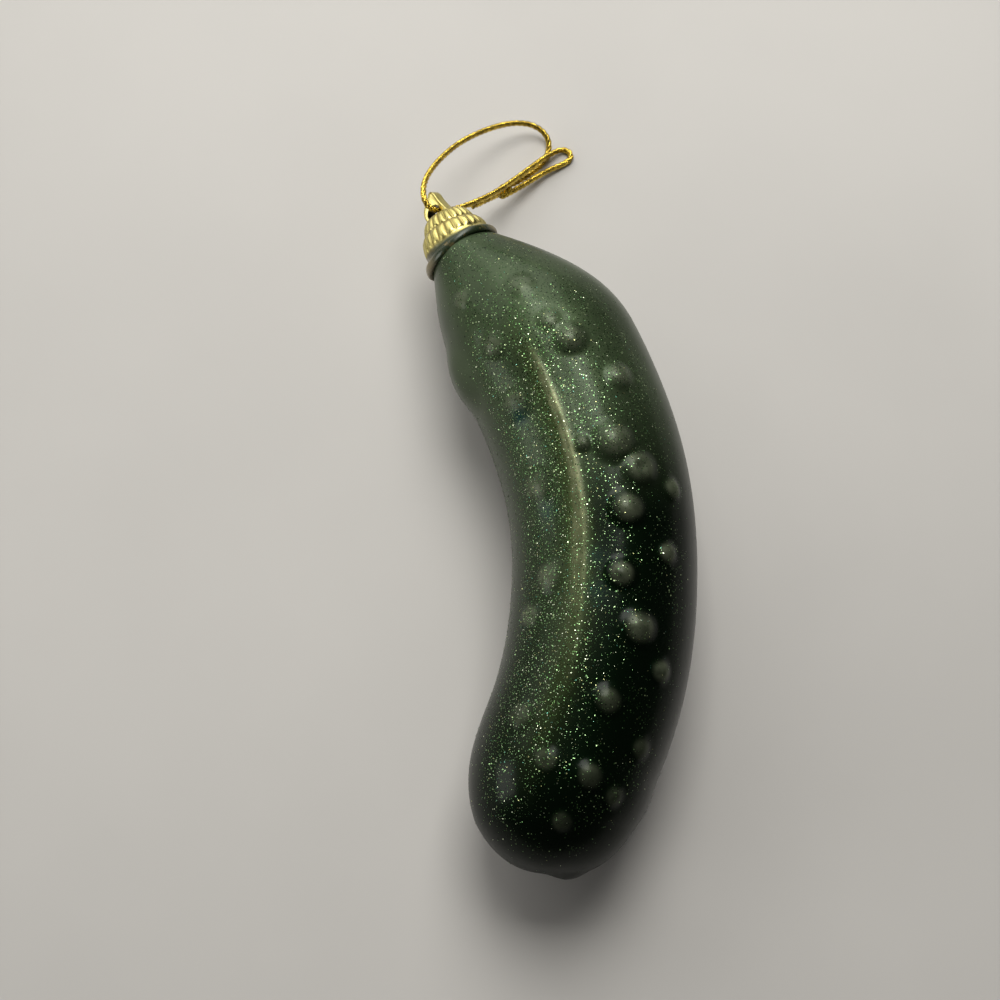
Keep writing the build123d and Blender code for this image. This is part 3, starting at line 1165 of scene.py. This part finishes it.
        # painted shade: fewer flakes past the ridge, where the shade is painted
        weight = weight * (1 - self.flake_dark * self.dark_strength(distance, turn))
        weight = weight + self.crest_flakes * crest * self.crest_flake_end.left(distance)
        return weight * self.flake_end.left(distance) * (1 - self.flake_side * side)

    def build_skin(self, finish: LacquerFinish) -> bpy.types.Object:
        """Makes the shell: a spun wall, bent along the centre line, with its relief raised.

        Args:
            finish: Lacquer of the shell.

        Returns:
            The shell's piece.
        """
        mesh = spun_mesh("pickle_skin", self.profile(), self.sides)
        straight = corners_of(mesh)
        reach = np.hypot(straight[:, 0], straight[:, 1])
        turn = np.arctan2(straight[:, 1], straight[:, 0])
        distance = -straight[:, 2]
        smooth = self.spine.surface(distance, turn, reach)
        move_corners(mesh, smooth)
        outside = (reach > self.radius(distance) - self.wall / 2) & (distance > self.skin_start)
        wart_height, wart_top = self.wart_relief(smooth)
        ridge_height, crest = self.ridge_relief(distance, turn)
        relief = wart_height + ridge_height * (1 - wart_top) + self.form_relief(distance, turn, straight)
        smooth_normals = normals_of(mesh)
        side = 1 - smooth_step(smooth_normals[:, 2], *self.side_slopes)
        move_corners(mesh, smooth + smooth_normals * (relief * outside)[:, None])
        # pale crest, faded towards the end as painted shade
        pale = smooth_step(crest, *self.pale_crest) * self.ridge_wear.left(distance)
        add_strength(mesh, "side", side)
        add_strength(mesh, "gloss", side * self.gloss_fade.left(distance))
        # pale wart tops, partly a painted highlight
        add_strength(mesh, "wart", wart_top * outside)
        add_strength(mesh, "ridge", pale * (1 - wart_top) * outside)
        add_strength(mesh, "flank", self.flank_strength(distance, turn) * outside)
        # painted shade: the lacquer darker towards the end and past the ridge
        add_strength(mesh, "shade", self.shade_strength(distance, turn))
        add_strength(mesh, "teal", self.spot_strength(smooth) * outside)
        self.skin_points = corners_of(mesh)[outside]
        self.skin_normals = normals_of(mesh)[outside]
        self.skin_flakes = self.flake_weight(distance, turn, crest, side)[outside]
        piece = make_piece("pickle_skin", mesh, finish.material())
        return fit_piece(piece, Body.PICKLE, Slot.LACQUER, "pickle_shell")

    def build_flake(self) -> bpy.types.Mesh:
        """Makes one flake of size 1: a flat diamond with a keel under it.

        Returns:
            The flake's mesh.
        """
        made = bmesh.new()
        bmesh.ops.create_cone(
            made, segments=4, radius1=0.0, radius2=1.0, depth=self.flake_keel, cap_ends=True
        )
        bmesh.ops.remove_doubles(made, verts=made.verts, dist=FLAKE_MERGE)
        bmesh.ops.translate(made, verts=made.verts, vec=(0.0, 0.0, self.flake_lift - self.flake_keel / 2))
        bmesh.ops.recalc_face_normals(made, faces=made.faces)
        return finished_mesh("flake", made)

    def build_glitter(self, finish: GlitterFinish) -> bpy.types.Object:
        """Makes the glitter: foil flakes pressed into the skin at slight angles.

        Args:
            finish: Foil of the flakes.

        Returns:
            The glitter's piece.
        """
        count = self.flake_count
        mesh = repeated_mesh("glitter", self.build_flake(), count)
        corners = len(mesh.vertices) // count
        rng = np.random.default_rng(self.flake_seed)
        inside, height = -self.skin_normals[:, 0], self.skin_points[:, 1]
        weight = self.flake_share + self.flake_share_inside * inside + self.flake_share_up * height
        weight = np.clip(weight, self.flake_share_least, 1.0) * self.skin_flakes
        chosen = rng.choice(len(self.skin_points), count, replace=False, p=weight / weight.sum())
        normals = unit_rows(self.skin_normals[chosen] + rng.normal(0.0, self.flake_tilt, (count, 3)))
        first = unit_rows(np.cross(normals, rng.normal(size=(count, 3))))
        second = np.cross(normals, first)
        scales, scale_shares = zip(*self.flake_scales)
        size = rng.uniform(*self.flake_size, count) * rng.choice(scales, count, p=scale_shares)
        flake = corners_of(mesh).reshape(count, corners, 3) * size[:, None, None]
        places = self.skin_points[chosen] + first * rng.normal(0.0, self.flake_jitter, count)[:, None]
        turned = places[:, None] + flake[:, :, :1] * first[:, None] + flake[:, :, 1:2] * second[:, None]
        turned = turned + flake[:, :, 2:] * normals[:, None]
        move_corners(mesh, turned.reshape(-1, 3))
        tints, tint_shares = zip(*finish.tints)
        picked = np.array(tints)[rng.choice(len(tints), count, p=tint_shares)]
        colours = np.column_stack([picked, np.ones(count)]).repeat(corners, axis=0)
        tint = mesh.attributes.new("tint", "FLOAT_COLOR", "POINT")
        tint.data.foreach_set("color", colours.astype(np.float32).ravel())
        piece = make_piece("glitter", mesh, finish.material())
        mesh.polygons.foreach_set("use_smooth", np.zeros(len(mesh.polygons), bool))
        return fit_piece(piece, Body.PICKLE, Slot.LACQUER)


@dataclass
class CrownCap:
    """Gold crown cap: flange, plain band, two staggered tiers of ribs and the holed tab."""

    spine: Spine
    bore: float = 4.05 * MM
    bore_top: float = 3.9 * MM
    core: float = 2.45 * MM
    core_top: float = 6.0 * MM
    wall_gap: float = 0.5 * MM
    skin_gap: float = 0.02 * MM
    tier_gap: float = 0.01 * MM
    seat_gap: float = 0.05 * MM
    flange_radius: float = 7.0 * MM
    flange_top: float = 1.4 * MM
    flange_edge: float = 0.62 * MM
    flange_steps: int = 6
    band_step: Pair = (0.22 * MM, 0.05 * MM)
    band_edge: float = 0.3 * MM
    band_steps: int = 4
    droop: float = 1.9 * MM
    droop_start: float = -3.0 * MM
    droop_foot: float = 0.2 * MM
    lower_base: Pair = (5.9 * MM, 2.1 * MM)
    lower_top: Pair = (5.0 * MM, 4.5 * MM)
    upper_base: Pair = (4.6 * MM, 4.55 * MM)
    upper_top: Pair = (3.5 * MM, 7.0 * MM)
    crown_edge: Pair = (0.5 * MM, 0.12 * MM)
    crown_steps: tuple[Pair, ...] = ((1.4 * MM, 0.20 * MM), (0.0, 0.22 * MM))
    ribs: int = 22
    rib_height: float = 0.36 * MM
    rib_flatness: Pair = (2.2, 3.0)
    tier_shifts: Pair = (0.0, 0.5)
    steps_per_rib: int = 12
    tier_rows: int = 16
    tab_turn: float = -45.0
    tab_thickness: float = 2.0 * MM
    tab_steps: int = 4
    tab_edge: float = 0.28 * MM
    tab_edge_steps: int = 4
    tab_crease: float = 50.0
    hole_centre: Pair = (-0.85 * MM, 1.40 * MM)
    hole_half: Pair = (1.45 * MM, 1.15 * MM)
    hole_shade: Pair = (1.03, 1.2)
    rim_heights: Pair = (1.0 * MM, 1.8 * MM)
    rim_ends: Pair = (4.8 * MM, 6.8 * MM)

    TAB_OUTLINE = tuple((across * MM, height * MM) for across, height in (
        (2.3, -0.6), (1.75, 0.9), (1.1, 2.8), (0.8, 4.3), (0.1, 5.1), (-0.7, 4.7), (-1.7, 4.0), (-2.8, 3.1),
        (-3.3, 2.0), (-3.1, 0.7), (-2.7, -0.6),
    ))

    @property
    def tiers(self) -> tuple[tuple[Pair, Pair], ...]:
        """Foot and top of the two tiers, as (radius, height)."""
        return (self.lower_base, self.lower_top), (self.upper_base, self.upper_top)

    def profile(self) -> list[Pair]:
        """Closed wall of the cap.

        Returns:
            (radius, height) points: the hollow, the flange, the tiers and the crown.
        """
        foot, outer = self.seat_gap, self.flange_radius
        points = [(0.0, self.core_top), (self.core, self.core_top), (self.core, self.bore_top)]
        points += [(self.bore, self.bore_top), (self.bore, foot)]
        low, high = (outer, foot), (outer, self.flange_top)
        points += round_corner(low, (self.bore, foot), high, self.flange_edge, self.flange_steps)
        points += round_corner(high, low, (self.bore, self.flange_top), self.flange_edge, self.flange_steps)
        band = (self.lower_base[0] + self.band_step[0], self.flange_top + self.band_step[1])
        points += round_corner(band, high, self.lower_base, self.band_edge, self.band_steps)
        for start, end in self.tiers:
            for row in range(self.tier_rows + 1):
                share = row / self.tier_rows
                points.append(tuple(np.array(start) * (1 - share) + np.array(end) * share))
        radius, top = self.upper_top
        points.append((radius - self.crown_edge[0], top + self.crown_edge[1]))
        points += [(reach, top + rise) for reach, rise in self.crown_steps]
        return points

    def rib_relief(self, turn: np.ndarray, height: np.ndarray, ends: Pair, shift: float) -> np.ndarray:
        """How far each rib of a tier stands out, from 0 to 1.

        Args:
            turn: Turns about the cap's axis, in radians.
            height: Heights along the axis.
            ends: Heights of the tier's foot and top.
            shift: Turn of the first groove, in ribs.

        Returns:
            The relief at each point, 0 outside the tier.
        """
        across = np.abs(2 * np.mod(turn / math.tau * self.ribs - shift, 1.0) - 1)
        along = np.abs(2 * (height - ends[0]) / (ends[1] - ends[0]) - 1)
        across_power, along_power = self.rib_flatness
        return np.clip(1 - across**across_power, 0, 1) * np.clip(1 - along**along_power, 0, 1)

    def arch(self) -> list[Pair]:
        """Smooth outline of the tab.

        Returns:
            (across, height) points, once round from the right foot.
        """
        foot = self.upper_top[1]
        turns = [Vector((across, foot + height)) for across, height in self.TAB_OUTLINE]
        points = []
        for index, turn in enumerate(turns):
            before, after = turns[index - 1], turns[(index + 1) % len(turns)]
            beyond = turns[(index + 2) % len(turns)]
            slope_in, slope_out = (after - before) / 2, (beyond - turn) / 2
            for step in range(self.tab_steps):
                share = step / self.tab_steps
                point = (
                    turn * (1 + 2 * share) * (1 - share) ** 2 + slope_in * share * (1 - share) ** 2
                    + after * share**2 * (3 - 2 * share) + slope_out * share**2 * (share - 1)
                )
                points.append((point.x, point.y))
        return points

    def build_tab(self) -> bpy.types.Mesh:
        """Makes the holed tab: its outline bridged to its hole, thickened and rounded.

        Returns:
            The tab's mesh, in the cap's own frame.
        """
        made = bmesh.new()
        outline = self.arch()
        centre = Vector((self.hole_centre[0], self.upper_top[1] + self.hole_centre[1]))
        loops = []
        outer = [made.verts.new((0.0, across, height)) for across, height in outline]
        inner = []
        for across, height in outline:
            angle = math.atan2(height - centre.y, across - centre.x)
            side = centre.x + self.hole_half[0] * math.cos(angle)
            inner.append(made.verts.new((0.0, side, centre.y + self.hole_half[1] * math.sin(angle))))
        for ring in (outer, inner):
            loops += [made.edges.new((ring[i - 1], ring[i])) for i in range(len(ring))]
        bmesh.ops.bridge_loops(made, edges=loops)
        raised = bmesh.ops.extrude_face_region(made, geom=made.faces[:])["geom"]
        lifted = [item for item in raised if isinstance(item, bmesh.types.BMVert)]
        bmesh.ops.translate(made, verts=lifted, vec=(self.tab_thickness, 0, 0))
        bmesh.ops.translate(made, verts=made.verts, vec=(-self.tab_thickness / 2, 0, 0))
        bmesh.ops.recalc_face_normals(made, faces=made.faces)
        crease = math.radians(self.tab_crease)
        sharp = [edge for edge in made.edges if edge.calc_face_angle(0.0) > crease]
        bmesh.ops.bevel(
            made, geom=sharp, offset=self.tab_edge, offset_type="OFFSET", affect="EDGES",
            segments=self.tab_edge_steps, profile=0.5, clamp_overlap=True, material=-1,
        )
        turned = Matrix.Rotation(math.radians(self.tab_turn), 3, "Z")
        bmesh.ops.rotate(made, verts=made.verts, cent=(0, 0, 0), matrix=turned)
        return finished_mesh("tab", made)

    def hole_strength(self, points: np.ndarray) -> np.ndarray:
        """Strength of the painted shade in the tab's hole: 1 at its wall, fading out past its rounded edge.

        Args:
            points: Points of the tab, in the cap's own frame.

        Returns:
            The strength at each point.
        """
        turn = math.radians(self.tab_turn)
        across = points[:, 1] * math.cos(turn) - points[:, 0] * math.sin(turn) - self.hole_centre[0]
        height = points[:, 2] - self.upper_top[1] - self.hole_centre[1]
        away = np.hypot(across / self.hole_half[0], height / self.hole_half[1])
        return 1 - smooth_step(away, *self.hole_shade)

    def raise_ribs(self, mesh: bpy.types.Mesh) -> np.ndarray:
        """Raises the ribs of the spun wall, and lets the cap's foot droop to the left.

        Args:
            mesh: The spun wall, which is changed.

        Returns:
            How deep each corner lies in a groove, from 0 to 1.
        """
        points = corners_of(mesh)
        reach = np.hypot(points[:, 0], points[:, 1])
        turn = np.arctan2(points[:, 1], points[:, 0])
        height = points[:, 2]
        outside = (reach > self.bore + self.skin_gap) | (height > self.upper_base[1] - self.tier_gap)
        outside &= reach > self.core + self.wall_gap
        relief = np.zeros(len(points))
        groove = np.zeros(len(points))
        for (base, top), shift in zip(self.tiers, self.tier_shifts):
            tier = outside & (height >= base[1]) & (height <= top[1])
            ribs = self.rib_relief(turn, height, (base[1], top[1]), shift)
            relief = relief + np.where(tier, ribs, 0.0)
            groove = groove + np.where(tier, 1 - ribs, 0.0)
        grown = 1 + relief * self.rib_height / np.maximum(reach, self.wall_gap)
        low = smooth_step(-points[:, 1], self.droop_start, self.flange_radius)
        low = low * (reach > self.bore + self.wall_gap)
        low = low * (1 - smooth_step(height, self.droop_foot, self.lower_top[1]))
        moved = [points[:, 0] * grown, points[:, 1] * grown, height - self.droop * low]
        move_corners(mesh, np.column_stack(moved))
        return groove

    def build(self, finish: GoldFinish) -> bpy.types.Object:
        """Makes the cap: the spun wall with its ribs raised, and the tab.

        Args:
            finish: Gold of the cap.

        Returns:
            The cap's piece.
        """
        wall = spun_mesh("wall", self.profile(), self.ribs * self.steps_per_rib)
        wall_groove = self.raise_ribs(wall)
        tab = self.build_tab()
        made = bmesh.new()
        for part in (wall, tab):
            made.from_mesh(part)
            bpy.data.meshes.remove(part)
        mesh = finished_mesh("gold_crown", made)
        points = corners_of(mesh)
        groove = np.zeros(len(points))
        groove[: len(wall_groove)] = wall_groove
        on_tab = np.arange(len(points)) >= len(wall_groove)
        add_strength(mesh, "groove", groove**2)
        add_strength(mesh, "rim", 1 - smooth_step(points[:, 2], *self.rim_heights))
        add_strength(mesh, "rim_end", smooth_step(np.abs(points[:, 1]), *self.rim_ends))
        # painted shade in the tab's hole
        add_strength(mesh, "hole", self.hole_strength(points) * on_tab)
        mesh.transform(self.spine.cap_matrix)
        piece = make_piece("gold_crown", mesh, finish.material())
        return fit_piece(piece, Body.CAP, Slot.GOLD, "crown_cap")


def route_line(name: str, route: list[Point]) -> np.ndarray:
    """Points along the smooth line of a cord's route.

    Args:
        name: Name of the line.
        route: Points of the route, which pull the line.

    Returns:
        The points in order, as rows.
    """
    curve = bpy.data.curves.new(name, "CURVE")
    curve.dimensions = "3D"
    spline = curve.splines.new("NURBS")
    spline.points.add(len(route) - 1)
    for knot, place in zip(spline.points, route):
        knot.co = (*place, 1.0)
    spline.order_u = 3
    spline.use_endpoint_u = True
    spline.resolution_u = LINE_RESOLUTION
    holder = linked_object(name, curve)
    bpy.context.view_layer.update()
    mesh = bpy.data.meshes.new_from_object(holder)
    points = corners_of(mesh)
    bpy.data.meshes.remove(mesh)
    bpy.data.objects.remove(holder)
    bpy.data.curves.remove(curve)
    return points


def lengths_along(points: np.ndarray) -> np.ndarray:
    """Distance of each point from the first, along the line."""
    spans = np.linalg.norm(np.diff(points, axis=0), axis=1)
    return np.concatenate([[0.0], np.cumsum(spans)])


def even_points(points: np.ndarray, step: float) -> np.ndarray:
    """The same line with its points evenly spaced.

    Args:
        points: Points of the line.
        step: About how far apart the new points are.

    Returns:
        The new points, as rows.
    """
    along = lengths_along(points)
    places = np.linspace(0, along[-1], max(LEAST_SPANS, round(along[-1] / step)) + 1)
    return np.column_stack([np.interp(places, along, points[:, axis]) for axis in range(3)])


def frames_along(points: np.ndarray) -> tuple[np.ndarray, np.ndarray]:
    """Frames carried along a line without twisting.

    Args:
        points: Points of the line.

    Returns:
        Two directions across the line at each point, as rows.
    """
    tangents = unit_rows(np.gradient(points, axis=0))
    start = np.cross(tangents[0], (0.0, 0.0, 1.0))
    if np.linalg.norm(start) < STEEP_LINE:
        start = np.cross(tangents[0], (1.0, 0.0, 0.0))
    across = np.empty_like(points)
    across[0] = start / np.linalg.norm(start)
    for index in range(1, len(points)):
        kept = across[index - 1] - tangents[index] * (across[index - 1] @ tangents[index])
        across[index] = kept / np.linalg.norm(kept)
    return across, np.cross(tangents, across)


def add_tube(made: bmesh.types.BMesh, points: np.ndarray, radius: float, sides: int) -> None:
    """Adds a closed tube along a line: a grid rolled up, with its UV in millimetres along and turns around.

    Args:
        made: Mesh that gets the tube.
        points: Points of the line.
        radius: Radius of the tube.
        sides: Number of sides.
    """
    spans = len(points) - 1
    grid = bmesh.ops.create_grid(made, x_segments=spans, y_segments=sides, size=0.5, calc_uvs=True)["verts"]
    along = lengths_along(points) / MM
    across, other = frames_along(points)
    uv = made.loops.layers.uv.verify()
    for corner in grid:
        ring = round((corner.co.x + 0.5) * spans)
        side = round((corner.co.y + 0.5) * sides)
        for loop in corner.link_loops:
            loop[uv].uv = (along[ring], side / sides)
        angle = math.tau * side / sides
        offset = across[ring] * math.cos(angle) + other[ring] * math.sin(angle)
        corner.co = Vector(points[ring] + offset * radius)
    bmesh.ops.remove_doubles(made, verts=grid, dist=SEAM_MERGE)
    ends = [edge for edge in made.edges if edge.is_boundary]
    bmesh.ops.holes_fill(made, edges=ends, sides=sides)


@dataclass
class HangingCord:
    """Loop of gold cord through the tab's hole, its knot and its two tails; routes are in millimetres."""

    diameter: float = 1.0 * MM
    plies: int = 3
    ply_sides: int = 8
    ply_share: float = 0.58
    fullness: float = 1.08
    tail_fullness: float = 0.9
    twist: float = 3.2 * MM
    step: float = 0.16 * MM
    hole: Point = (-19.4923 * MM, 54.2036 * MM, 15.9078 * MM)
    knot_centre: Point = (-8.7 * MM, 62.5 * MM, 5.0 * MM)
    knot_heading: float = 48.0
    knot_slope: float = -0.25
    knot_turns: float = 2.6
    knot_length: float = 2.3 * MM
    knot_radius: float = 0.74 * MM
    knot_ply: float = 0.82 * MM
    knot_points: int = 160
    knot_tuck: Pair = (0.35, 0.14)
    knot_wobble: float = 0.10
    knot_sway: float = 0.25 * MM
    knot_core: float = 0.55
    knot_core_points: int = 12

    FRONT_ROUTE = (
        (-20.5, 53.7, 17.0), (-21.4, 53.9, 17.7), (-22.1, 54.7, 18.1), (-22.5, 56.3, 18.1),
        (-22.4, 58.7, 17.2), (-21.4, 61.8, 15.5), (-19.5, 65.4, 13.1), (-16.6, 69.5, 10.1),
        (-12.6, 73.0, 7.4), (-8.3, 75.6, 5.0), (-5.0, 76.5, 3.5), (-2.5, 76.2, 2.4),
        (-0.9, 75.0, 1.6), (-0.3, 73.4, 0.9), (-0.7, 71.6, 0.6), (-1.7, 69.6, 0.6),
        (-3.5, 67.6, 1.4), (-5.9, 65.3, 3.1), (-7.8, 63.6, 4.7), (-9.0, 63.1, 5.4),
    )
    BACK_ROUTE = (
        (-18.5, 54.6, 14.8), (-16.8, 55.5, 13.5), (-13.6, 57.6, 11.5), (-9.9, 60.6, 9.0),
        (-6.5, 64.4, 6.1), (-3.3, 68.1, 3.5), (-0.9, 70.6, 2.0), (0.8, 71.9, 1.2),
        (1.7, 72.4, 0.8), (2.4, 72.5, 0.6), (3.0, 72.3, 0.6), (3.5, 71.8, 0.6), (3.6, 71.1, 0.6),
        (3.3, 70.5, 0.6), (2.6, 70.0, 0.6), (1.6, 69.4, 0.7), (-0.3, 68.4, 1.1), (-2.6, 66.7, 1.9),
        (-5.2, 64.4, 3.2), (-7.1, 62.8, 4.2), (-8.2, 62.0, 4.6),
    )
    TAIL_ROUTES = (
        (
            (-9.4, 61.7, 5.4), (-10.2, 60.6, 6.9), (-11.5, 59.2, 8.7), (-13.1, 57.75, 10.2),
            (-14.2, 56.9, 11.0),
        ),
        ((-9.8, 62.6, 4.9), (-11.0, 61.6, 5.6), (-12.1, 60.3, 6.5), (-13.0, 58.9, 7.5)),
    )

    def metres(self, route: tuple[Point, ...]) -> list[Point]:
        """A route in metres."""
        return [tuple(value * MM for value in place) for place in route]

    def add_plies(self, made: bmesh.types.BMesh, line: np.ndarray, diameter: float) -> None:
        """Adds the twisted plies of a stretch of cord.

        Args:
            made: Mesh that gets the plies.
            line: Points of the cord's centre line.
            diameter: Diameter of the cord.
        """
        points = even_points(line, self.step)
        across, other = frames_along(points)
        along = lengths_along(points)
        ply_radius = diameter / 2 * self.ply_share
        orbit = diameter / 2 - ply_radius
        for ply in range(self.plies):
            angle = math.tau * (along / self.twist + ply / self.plies)
            centre = points + orbit * (across * np.cos(angle)[:, None] + other * np.sin(angle)[:, None])
            add_tube(made, centre, ply_radius, self.ply_sides)

    def to_piece(self, name: str, made: bmesh.types.BMesh, material: bpy.types.Material) -> bpy.types.Object:
        """Turns finished plies into a piece."""
        bmesh.ops.recalc_face_normals(made, faces=made.faces)
        return make_piece(name, finished_mesh(name, made), material)

    def build_stretch(
        self, name: str, route: tuple[Point, ...], material: bpy.types.Material
    ) -> tuple[bpy.types.Object, np.ndarray]:
        """Makes one free stretch of the cord.

        Args:
            name: Name of the piece.
            route: Points of its route after the hole, in millimetres.
            material: Its thread.

        Returns:
            The piece and the points of its centre line.
        """
        line = route_line(name + "_line", [self.hole] + self.metres(route))
        made = bmesh.new()
        self.add_plies(made, line, self.diameter * self.fullness)
        return self.to_piece(name, made, material), line

    def build_tails(self, material: bpy.types.Material) -> bpy.types.Object:
        """Makes the two cut ends past the knot.

        Args:
            material: Their thread.

        Returns:
            The tails' piece.
        """
        made = bmesh.new()
        for number, route in enumerate(self.TAIL_ROUTES):
            line = route_line(f"tail_line_{number}", self.metres(route))
            self.add_plies(made, line, self.diameter * self.tail_fullness)
        return self.to_piece("cord_tail_ends", made, material)

    def build_knot(self, material: bpy.types.Material) -> bpy.types.Object:
        """Makes the pulled-up knot: wraps of the cord round its own strands, tucked in at both ends.

        Args:
            material: Its thread.

        Returns:
            The knot's piece.
        """
        heading = math.radians(self.knot_heading)
        axis = np.array([math.cos(heading), math.sin(heading), self.knot_slope])
        axis /= np.linalg.norm(axis)
        side = np.cross(axis, (0.0, 0.0, 1.0))
        side /= np.linalg.norm(side)
        up = np.cross(side, axis)
        share = np.linspace(0.0, 1.0, self.knot_points)
        angle = math.tau * self.knot_turns * share
        least, tuck_share = self.knot_tuck
        tuck = least + (1 - least) * smooth_step(np.minimum(share, 1 - share), 0.0, tuck_share)
        reach = self.knot_radius * tuck * (1 + self.knot_wobble * np.sin(3 * angle / 2))
        rise = self.knot_length * (share - 0.5) + self.knot_sway * np.sin(angle)
        centre = np.array(self.knot_centre)
        round_axis = side * (reach * np.cos(angle))[:, None] + up * (reach * np.sin(angle))[:, None]
        made = bmesh.new()
        self.add_plies(made, centre + axis * rise[:, None] + round_axis, self.knot_ply)
        ends = np.linspace(-self.knot_core, self.knot_core, self.knot_core_points)
        self.add_plies(made, centre + axis * ends[:, None] * self.knot_length, self.diameter)
        return self.to_piece("cord_overhand_knot", made, material)

    def build(self, finish: CordFinish) -> None:
        """Makes the whole hanger.

        Args:
            finish: Thread of the cord.
        """
        material = finish.material()
        knot = fit_piece(self.build_knot(material), Body.HANGER, Slot.CORD, "cord_knot")
        tails = fit_piece(self.build_tails(material), Body.HANGER, Slot.CORD, "cord_tails")
        front, front_line = self.build_stretch("cord_front_stretch", self.FRONT_ROUTE, material)
        back, back_line = self.build_stretch("cord_back_stretch", self.BACK_ROUTE, material)
        fit_piece(front, Body.HANGER, Slot.CORD, "cord_front")
        fit_piece(back, Body.HANGER, Slot.CORD, "cord_back")


@dataclass(frozen=True)
class Lamp:
    """One square soft light that faces the ornament."""

    name: str
    place: Point
    size: float
    power: float


@dataclass
class Studio:
    """Pale floor, soft light and the camera over the table."""

    floor_size: float = 3.0
    floor_segments: int = 4
    target: Point = (-9.35 * MM, 3.0 * MM, 15.4 * MM)
    elevation: float = 76.0
    distance: float = 300.0 * MM
    nearest: float = 10.0 * MM
    focal_pixels: float = 1815.0
    frame_pixels: float = 1000.0
    sensor: float = 36.0
    lamp_colour: Colour = (1.0, 0.985, 0.96)
    lamps: tuple[Lamp, ...] = (
        Lamp("key", (0.03, 0.25, 0.46), 0.28, 2.1),
        Lamp("back", (-0.08, 0.736, 0.40), 0.64, 3.3),
        Lamp("fill", (-0.72, 0.64, 0.448), 0.74, 2.8),
        Lamp("low", (-0.85, -0.085, 0.255), 0.38, 1.75),
    )
    room_strength: float = 0.05

    def build_floor(self, finish: FloorFinish) -> None:
        """Makes the table top.

        Args:
            finish: Surface of the table top.
        """
        made = bmesh.new()
        bmesh.ops.create_grid(
            made, x_segments=self.floor_segments, y_segments=self.floor_segments, size=self.floor_size / 2
        )
        make_piece("floor", finished_mesh("floor", made), finish.material())

    def place_facing(self, holder: bpy.types.Object, place: Vector, direction: Vector) -> None:
        """Puts a lamp or the camera at a place, looking in a direction.

        Args:
            holder: Object of the lamp or the camera.
            place: Where it stands.
            direction: Where it looks.
        """
        holder.location = place
        holder.rotation_mode = "QUATERNION"
        holder.rotation_quaternion = direction.to_track_quat("-Z", "Y")

    def build_lights(self) -> None:
        """Makes the soft lights and the dim room."""
        for lamp in self.lamps:
            light = bpy.data.lights.new(lamp.name, "AREA")
            light.size = lamp.size
            light.energy = lamp.power
            light.color = self.lamp_colour
            place = Vector(lamp.place)
            self.place_facing(linked_object(lamp.name, light), place, -place)
        world = bpy.data.worlds.new("dim_room")
        world.use_nodes = True
        room = world.node_tree.nodes["Background"]
        room.inputs["Color"].default_value = (1.0, 1.0, 1.0, 1.0)
        room.inputs["Strength"].default_value = self.room_strength
        bpy.context.scene.world = world

    def build_camera(self) -> None:
        """Makes the camera at the photograph's angle."""
        camera = bpy.data.cameras.new("camera")
        camera.sensor_width = self.sensor
        camera.lens = self.focal_pixels * self.sensor / self.frame_pixels
        camera.clip_start = self.nearest
        lift = math.radians(self.elevation)
        back = Vector((0.0, -math.cos(lift), math.sin(lift)))
        holder = linked_object("camera", camera)
        self.place_facing(holder, Vector(self.target) + back * self.distance, -back)
        bpy.context.scene.camera = holder
        bpy.context.scene.view_settings.view_transform = "Standard"


def main() -> None:
    """Builds the ornament and its stage."""
    logging.basicConfig(level=logging.INFO, format="%(name)s: %(message)s")
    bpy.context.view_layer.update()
    spine = Spine()
    studio = Studio()
    studio.build_camera()
    studio.build_floor(FloorFinish())
    studio.build_lights()
    HangingCord().build(CordFinish())
    shell = PickleShell(spine)
    shell.build_skin(LacquerFinish())
    shell.build_glitter(GlitterFinish())
    CrownCap(spine).build(GoldFinish())


if __name__ == "__main__":
    main()
